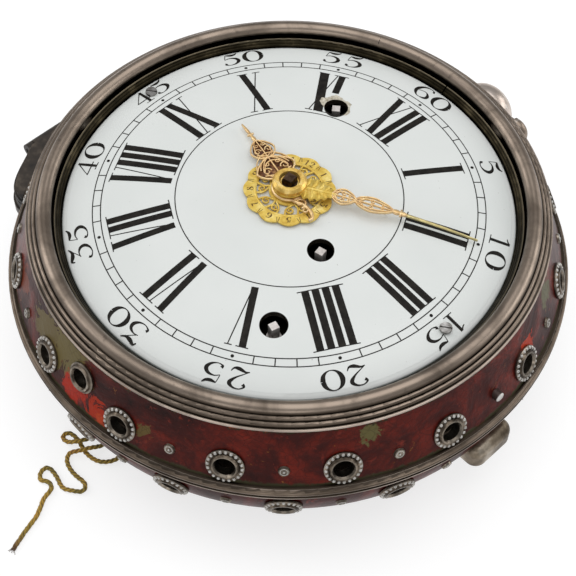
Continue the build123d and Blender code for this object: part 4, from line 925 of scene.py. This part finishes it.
def filigree_lobe(relief, place, start, end, width, half=0.24):
    """Two mirrored outer bows with scrolls and a rib between them."""
    length = end - start
    for way in (1, -1):
        bow = [
            (start, way * 0.15, half * 0.8),
            (start + 0.14 * length, way * width * 0.33, half),
            (start + 0.45 * length, way * width * 0.5, half),
            (start + 0.8 * length, way * width * 0.3, half),
            (end, way * 0.15, half * 0.8),
        ]
        relief.stroke(flow(bow, 8), place, 0, 0.5, 0.12)
        inner = [(u, v * 0.62, w * 0.7) for u, v, w in bow]
        relief.stroke(flow(inner, 8), place, 0, 0.5, 0.1)
        for u, v, w in flow(bow, 2)[1:-1]:
            x, y, z = place(u, v * 1.03)
            relief.bead((x, y, z + 0.3), (0, 0, 1), half * 1.15, 3, 8)
        size = min(width, length) * 0.16
        first, second = start + 0.42 * length, start + 0.72 * length
        scroll(relief, place, first, way * width * 0.24, size, -way * 90, way, half * 0.8)
        scroll(relief, place, second, way * width * 0.14, size * 0.6, way * 60, way, half * 0.7)
        leaf = [
            (start + 0.1 * length, way * 0.1, half * 0.6),
            (start + 0.2 * length, way * width * 0.18, half),
            (start + 0.28 * length, way * width * 0.36, half * 0.6),
        ]
        relief.stroke(flow(leaf, 5), place, 0, 0.5, 0.1)
    rib = [(start, 0, half * 0.7), (start + 0.5 * length, 0, half * 0.9), (end, 0, half * 0.7)]
    relief.stroke(flow(rib, 6), place, 0, 0.5, 0.12)


HOUR_ANGLE = 164.8
MINUTE_ANGLE = 30.0
BOSS_R = 4.2
HOUR_Z = TRACK_Z + 5.2
MINUTE_Z = TRACK_Z + 6.3
hour_height = bent((BOSS_R, HOUR_Z), (15, HOUR_Z - 0.35), (24.8, HOUR_Z - 1.5))
minute_height = bent((BOSS_R, MINUTE_Z), (26, MINUTE_Z - 1.5), (46.8, TRACK_Z + 1.0))


def ring_stroke(relief, radius, half, z, low, top, crown=0.1, count=48):
    """Full ring round the middle of the dial."""
    relief.stroke(circle(radius, half, count), lambda u, v: (u, v, z), low, top, crown)


def lobe_ground(relief, place, start, end, width, share):
    """Dark plate inside a lobe, a share of its width: painted shade and painted reflection in the
    openwork.
    """
    length = end - start
    side = [(0.03, 0.1), (0.14, 0.33), (0.45, 0.5), (0.8, 0.3), (0.98, 0.08)]
    left = flow([(start + at * length, width * out * share) for at, out in side], 5)
    right = [(u, -v) for u, v in reversed(left)]
    relief.plate(left + right, place, 0.08, 0.2)


# Hour hand: rose gilt openwork over a dark plate of painted shade and painted reflection, with a
# scrolled tail
hour = Relief()
place = along(HOUR_ANGLE, hour_height)
ring_stroke(hour, 3.85, 0.6, HOUR_Z, 0, 0.5)
filigree_lobe(hour, place, 3.6, 11.0, 10.0, 0.2)
filigree_lobe(hour, place, 10.6, 17.6, 6.2, 0.18)
for radius in (5.6, 7.0, 8.4):
    arc = [polar(radius, a) for a in range(-62, 63, 12)]
    hour.stroke(flow([(4.0 + u, v * 0.62, 0.15) for u, v in arc], 3), place, 0, 0.5, 0.1)
point = [(17.3, 0.35), (18.6, 0.5), (19.6, 0.28), (20.2, 0.6), (20.8, 0.3), (22, 0.38), (24.75, 0.14)]
hour.stroke(flow([(u, 0, w) for u, w in point], 5), place, 0, 0.5, 0.15)
hour.stroke([(20.2, -0.85, 0.22), (20.2, 0.85, 0.22)], place, 0, 0.5, 0.15)
tail = [(-3.6, 1.5), (-4.9, 0.9), (-6.6, -0.3), (-9.3, -0.7), (-11.0, 0.0), (-11.2, 1.0)]
hour.stroke(flow([(u, v, 0.38) for u, v in tail], 6), place, 0, 0.5, 0.15)
scroll(hour, place, -5.6, 0.1, 1.35, 200, 1, 0.26)
scroll(hour, place, -8.1, 0.3, 1.0, 20, -1, 0.22)
# Painted shade and painted reflection: mottled dark plates filling the open lobes
hour.tone = 1
lobe_ground(hour, place, 3.6, 11.0, 10.0, 0.92)
lobe_ground(hour, place, 10.6, 17.6, 6.2, 0.8)
hour_piece = make("hour_hand_openwork", hour, [ROSE_GILT, LOBE_SHADE], "hour_hand", True)
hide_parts("hour_hand")

# Minute hand: a bright cut leaf, rose gilt openwork and a duller needle
minute = Relief()
place = along(MINUTE_ANGLE, minute_height)
ring_stroke(minute, 3.15, 1.1, MINUTE_Z, 0, 0.5)
LEAF_EDGE = [
    (3.4, 2.3), (4.3, 3.5), (5.2, 2.9), (6.0, 3.6), (6.9, 2.7), (7.7, 3.1), (8.5, 2.1), (9.2, 2.4),
    (9.9, 1.3), (10.6, 1.3), (11.6, 0.35),
]
leaf_side = flow([(u, v, 0) for u, v in LEAF_EDGE], 4)
leaf_outline = [(u, v) for u, v, w in leaf_side] + [(u, -v) for u, v, w in reversed(leaf_side)]
minute.plate(leaf_outline, place, 0, 0.35)
minute.stroke(flow([(3.4, 0, 0.5), (7.0, 0, 0.4), (11.6, 0, 0.2)], 5), place, 0.2, 0.45, 0.25)
for way in (1, -1):
    for u, reach in ((4.3, 3.1), (6.0, 3.2), (7.7, 2.7), (9.2, 2.0)):
        vein = [(u - 0.5, way * 0.3, 0.3), (u, way * reach * 0.55, 0.42), (u + 0.15, way * reach, 0.2)]
        minute.stroke(flow(vein, 4), place, 0.2, 0.38, 0.22)
minute.tone = 1
filigree_lobe(minute, place, 10.6, 16.6, 4.6, 0.17)
filigree_lobe(minute, place, 16.2, 25.9, 4.2, 0.17)
knot = [(25.6, 0.45), (26.6, 0.7), (27.5, 0.35), (28.2, 0.6), (29, 0.4)]
minute.stroke(flow([(u, 0, w) for u, w in knot], 5), place, 0, 0.5, 0.15)
minute.stroke([(27.6, -1.0, 0.25), (27.6, 1.0, 0.25)], place, 0, 0.5, 0.15)
minute.tone = 2
minute.stroke([(28.5, 0, 0.42), (34, 0, 0.36), (40, 0, 0.3), (46.7, 0, 0.2)], place, 0, 0.45, 0.15)
finishes = [LEMON_GILT, ROSE_GILT, OLIVE_GILT]
minute_piece = make("minute_hand_openwork", minute, finishes, "minute_hand", True)
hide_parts("minute_hand")

# Alarm disc: a scalloped band with engraved hours, open between its scrolled arms
DISC_Z = TRACK_Z + 4.3
band = Flat()
n = 144
for k in range(n):
    angle = 360 * k / n
    outer = 10.45 + 0.8 * abs(math.cos(math.radians((angle - 15) * 6)))
    for radius, z in ((8.0, 0.0), (8.0, 0.4), (outer, 0.4), (outer, 0.0)):
        band.verts.append((*polar(radius, angle), DISC_Z + z))
    for j in range(4):
        a, b, i = 4 * k, 4 * ((k + 1) % n), (j + 1) % 4
        band.faces.append((a + j, a + i, b + i, b + j))
disc = Relief()
ring_stroke(disc, 8.3, 0.25, DISC_Z, 0.1, 0.45, 0.12, 72)
ring_stroke(disc, 4.2, 0.85, DISC_Z, 0, 0.4, 0.05)
for k in range(6):
    turn = 60 * k + 30
    arm = along(turn, lambda u: DISC_Z)
    disc.stroke(flow([(4.6, 0, 0.3), (6.2, 0.5, 0.22), (8.2, 0, 0.3)], 5), arm, 0, 0.38, 0.12)
    for way in (1, -1):
        scroll(disc, arm, 6.4, way * 1.45, 0.95, way * 90, -way, 0.22, 0, 0.36)
        branch = [(4.9, way * 0.6, 0.2), (6.0, way * 2.5, 0.2), (8.1, way * 3.2, 0.22)]
        disc.stroke(flow(branch, 5), arm, 0, 0.36, 0.1)
band.faces += [tuple(i + len(band.verts) for i in f) for f in disc.faces]
band.verts += disc.verts
disc_piece = make("alarm_disc_openwork", band, LEMON_GILT, "alarm_disc")
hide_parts("alarm_disc")
figures = Flat()
for hour_number in range(1, 13):
    c, s = polar(1, 105 - 30 * hour_number)

    def on_disc(u, v, c=c, s=s):
        return (c * v + s * u, s * v - c * u, DISC_Z + 0.425)

    write(figures, str(hour_number), on_disc, 8.75, 1.6, 2.3, 2.9)
    for side in (-1, 1):
        figures.line((2.55 + 0.35 * side, 8.75), (2.75 + 0.12 * side, 10.2), 0.07, on_disc, 3)
make("alarm_figures", figures, ENGRAVED, "alarm_disc")

# Seam in the bezel, a fine dark line over its beads
BEZEL_CREST = [
    (57.8, 47.1), (58.1, 47.9), (58.7, 48.45), (59.5, 48.7), (60.4, 48.5), (61.1, 48.05), (61.6, 47.35),
    (62.1, 47.15), (62.65, 46.4), (63.25, 46.3), (63.7, 45.55),
]
SEAM_ANGLE = 111.9
seam = Flat()
out_x, out_y = polar(1, SEAM_ANGLE)
for radius, z in BEZEL_CREST:
    r = radius + 0.01
    for side in (-0.07, 0.07):
        seam.verts.append((out_x * r - out_y * side, out_y * r + out_x * side, z + 0.03))
seam.faces = [(2 * k, 2 * k + 2, 2 * k + 3, 2 * k + 1) for k in range(len(BEZEL_CREST) - 1)]
make("bezel_seam", seam, INK_AND_SHADE, "front_case")

# Cord: a soft line out of the flange under the bowl, three strands twisted round it
CORD_R = 0.5
LOW, HUMP = 0.5, 1.7
CORD_ROUTE = [
    (0.0, -56.96, 5.03), (0.0, -59.16, LOW), (4.2, -62.0, LOW), (1.8, -66.7, LOW), (-3.0, -67.8, LOW),
    (-7.6, -66.4, LOW), (-11.0, -66.7, LOW), (-11.2, -69.0, LOW), (-8.9, -69.1, LOW),
    (-6.9, -67.6, HUMP), (-5.6, -65.4, HUMP), (-5.3, -62.8, LOW), (-4.5, -60.3, LOW),
    (-2.1, -60.6, LOW), (-1.9, -63.3, LOW), (-3.1, -66.2, HUMP), (-4.4, -68.9, HUMP),
    (-6.3, -70.6, LOW), (-4.6, -72.8, LOW), (-0.6, -73.6, LOW), (3.6, -72.9, LOW), (5.0, -75.0, LOW),
    (2.6, -76.8, LOW), (0.4, -78.2, LOW), (-3.2, -76.9, LOW), (-6.8, -76.7, LOW), (-7.0, -79.0, LOW),
    (-5.2, -80.8, LOW), (-3.2, -79.2, LOW), (-1.0, -79.9, LOW), (-0.7, -83.0, LOW), (2.2, -87.0, LOW),
    (3.4, -92.0, LOW), CORD_TIP,
]
cord_curve = bpy.data.curves.new("pull_cord_line", "CURVE")
cord_curve.dimensions = "3D"
spline = cord_curve.splines.new("NURBS")
spline.points.add(len(CORD_ROUTE) - 1)
for point, (x, y, z) in zip(spline.points, CORD_ROUTE):
    point.co = (x * 0.001, y * 0.001, z * 0.001, 1.0)
spline.order_u = 3
spline.use_endpoint_u = True
spline.resolution_u = 12
cord_line = show("pull_cord_line", cord_curve)
bpy.context.view_layer.update()
drawn = bpy.data.meshes.new_from_object(cord_line.evaluated_get(bpy.context.evaluated_depsgraph_get()))
cord_points = [Vector(v.co) * 1000 for v in drawn.vertices]
cord_length = sum((b - a).length for a, b in zip(cord_points, cord_points[1:]))
cord_curve.bevel_depth = CORD_R * 0.001
cord_curve.bevel_resolution = 3
cord_curve.use_fill_caps = True
cord_curve.materials.append(SHADED_SILK_CORE)
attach(cord_line, "back_case")
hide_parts("pull_cord")


def twisted(points, turn, offset, pitch):
    """Points of one strand wound round a line."""
    path = []
    gone = 0.0
    for i, point in enumerate(points):
        before, after = points[max(i - 1, 0)], points[min(i + 1, len(points) - 1)]
        gone += (point - before).length
        ahead = (after - before).normalized()
        side, other = across(ahead)
        path.append(point + offset * swing(side, other, turn + 2 * math.pi * gone / pitch))
    return path


def evenly(points, step):
    """The same line, in equal steps."""
    out = [points[0]]
    left = step
    for a, b in zip(points, points[1:]):
        size = (b - a).length
        at = 0.0
        while size - at >= left:
            at += left
            out.append(a.lerp(b, at / size))
            left = step
        left -= size - at
    return out


twist = Flat()
STRAND_PITCH = 3.8
core = evenly(cord_points, 0.3)
for k in range(3):
    turn = 2 * math.pi * k / 3
    tube(twist, twisted(core, turn, 0.4, STRAND_PITCH), 0.23)
    tube(twist, twisted(core[-80:], turn + 1, 0.42, 2.6 * STRAND_PITCH), 0.2)
end = cord_points[-1]
ahead = (end - cord_points[-4]).normalized()
side = across(ahead)[0]
for k in range(7):
    spread = (k - 3) * 0.16
    root = end - 0.3 * ahead + 0.35 * spread * side
    reach = 0.6 + 0.25 * math.cos(2.3 * k)
    tip = end + reach * ahead + spread * 2.2 * side + Vector((0, 0, -0.3))
    tube(twist, [root, root.lerp(tip, 0.5) + Vector((0, 0, 0.12)), tip], 0.07, 5)
strands = make("cord_strands", twist, SILK, "back_case", smooth=True)
tuple(c * 0.001 for c in CORD_ROUTE[0])

# Floor: white to the camera, grey to what it lights, so that the case keeps its dark underside
stage_mesh = bpy.data.meshes.new("floor")
FLOOR_HALF, FLOOR_Z = 3, -0.0002
corners = [(x * FLOOR_HALF, y * FLOOR_HALF, FLOOR_Z) for x, y in ((-1, -1), (1, -1), (1, 1), (-1, 1))]
stage_mesh.from_pydata(corners, [], [(0, 1, 2, 3)])
floor_look = Nodes("floor")
floor_look.set(Base_Color=(0.4, 0.4, 0.4), Roughness=0.9)
rays = floor_look.new("ShaderNodeLightPath").outputs
seen = floor_look.math("MAXIMUM", rays["Is Camera Ray"], rays["Is Glossy Ray"])
seen = floor_look.math("MAXIMUM", seen, rays["Is Transmission Ray"])
glow = floor_look.new("ShaderNodeEmission", Strength=0.7)
paper = floor_look.new("ShaderNodeBsdfDiffuse", Color=(0.4, 0.4, 0.4, 1))
both = floor_look.new("ShaderNodeAddShader", glow.outputs[0], paper.outputs[0])
either = floor_look.new("ShaderNodeMixShader", seen, floor_look.shader.outputs[0], both.outputs[0])
floor_look.link(either.outputs[0], floor_look.tree.nodes["Material Output"].inputs["Surface"])
stage_mesh.materials.append(floor_look.material)
show("floor", stage_mesh)

world = bpy.data.worlds.new("studio")
bpy.context.scene.world = world
world.use_nodes = True
sky = world.node_tree.nodes["Background"].inputs
sky["Color"].default_value = (0.98, 0.99, 1.0, 1)
sky["Strength"].default_value = 0.42


def softbox(name, place, target, size, power):
    light = bpy.data.lights.new(name, "AREA")
    light.shape = "RECTANGLE"
    light.size, light.size_y = size
    light.energy = power
    obj = show(name, light)
    obj.location = place
    obj.rotation_euler = (Vector(target) - Vector(place)).to_track_quat("-Z", "Y").to_euler()


softbox("top_box", (0.0, 0.1, 0.9), (0, 0, 0), (0.9, 0.9), 3.6)
softbox("back_box", (0.45, 0.8, 0.42), (0, 0, 0.02), (0.8, 0.45), 2.4)
softbox("left_box", (-0.7, -0.3, 0.5), (0, 0, 0.02), (0.5, 0.6), 2.0)
softbox("right_box", (0.5, -0.7, 0.45), (0, 0, 0.02), (0.6, 0.4), 1.0)

# Camera: its distance and target in radii of the ring of minute dots, its focal length in pixels
DOT_RING = DOTS_R * 0.001
FOCAL, FRAME, DISTANCE = 1411.09908, 576, 7.01065871
azimuth, elevation, roll = (math.radians(a) for a in (45.22819301, 53.79649327, 0.88253523))
flat_x, flat_y = math.sin(azimuth), -math.cos(azimuth)
back = Vector((flat_x * math.cos(elevation), flat_y * math.cos(elevation), math.sin(elevation)))
right = (-back).cross(Vector((0, 0, 1))).normalized()
up = right.cross(-back)
tilted_right = math.cos(roll) * right + math.sin(roll) * up
tilted_up = math.cos(roll) * up - math.sin(roll) * right
camera = bpy.data.cameras.new("camera")
camera.sensor_width = 36
camera.lens = camera.sensor_width * FOCAL / FRAME
camera.clip_start = 0.01
target = Vector((0.395397976 * DOT_RING, -0.392701080 * DOT_RING, TRACK_Z * 0.001))
turn = Matrix((tilted_right, tilted_up, back)).transposed()
camera_object = show("camera", camera)
camera_object.matrix_world = Matrix.Translation(target + back * DISTANCE * DOT_RING) @ turn.to_4x4()
bpy.context.scene.camera = camera_object
bpy.context.scene.view_settings.view_transform = "Standard"

bpy.context.view_layer.update()
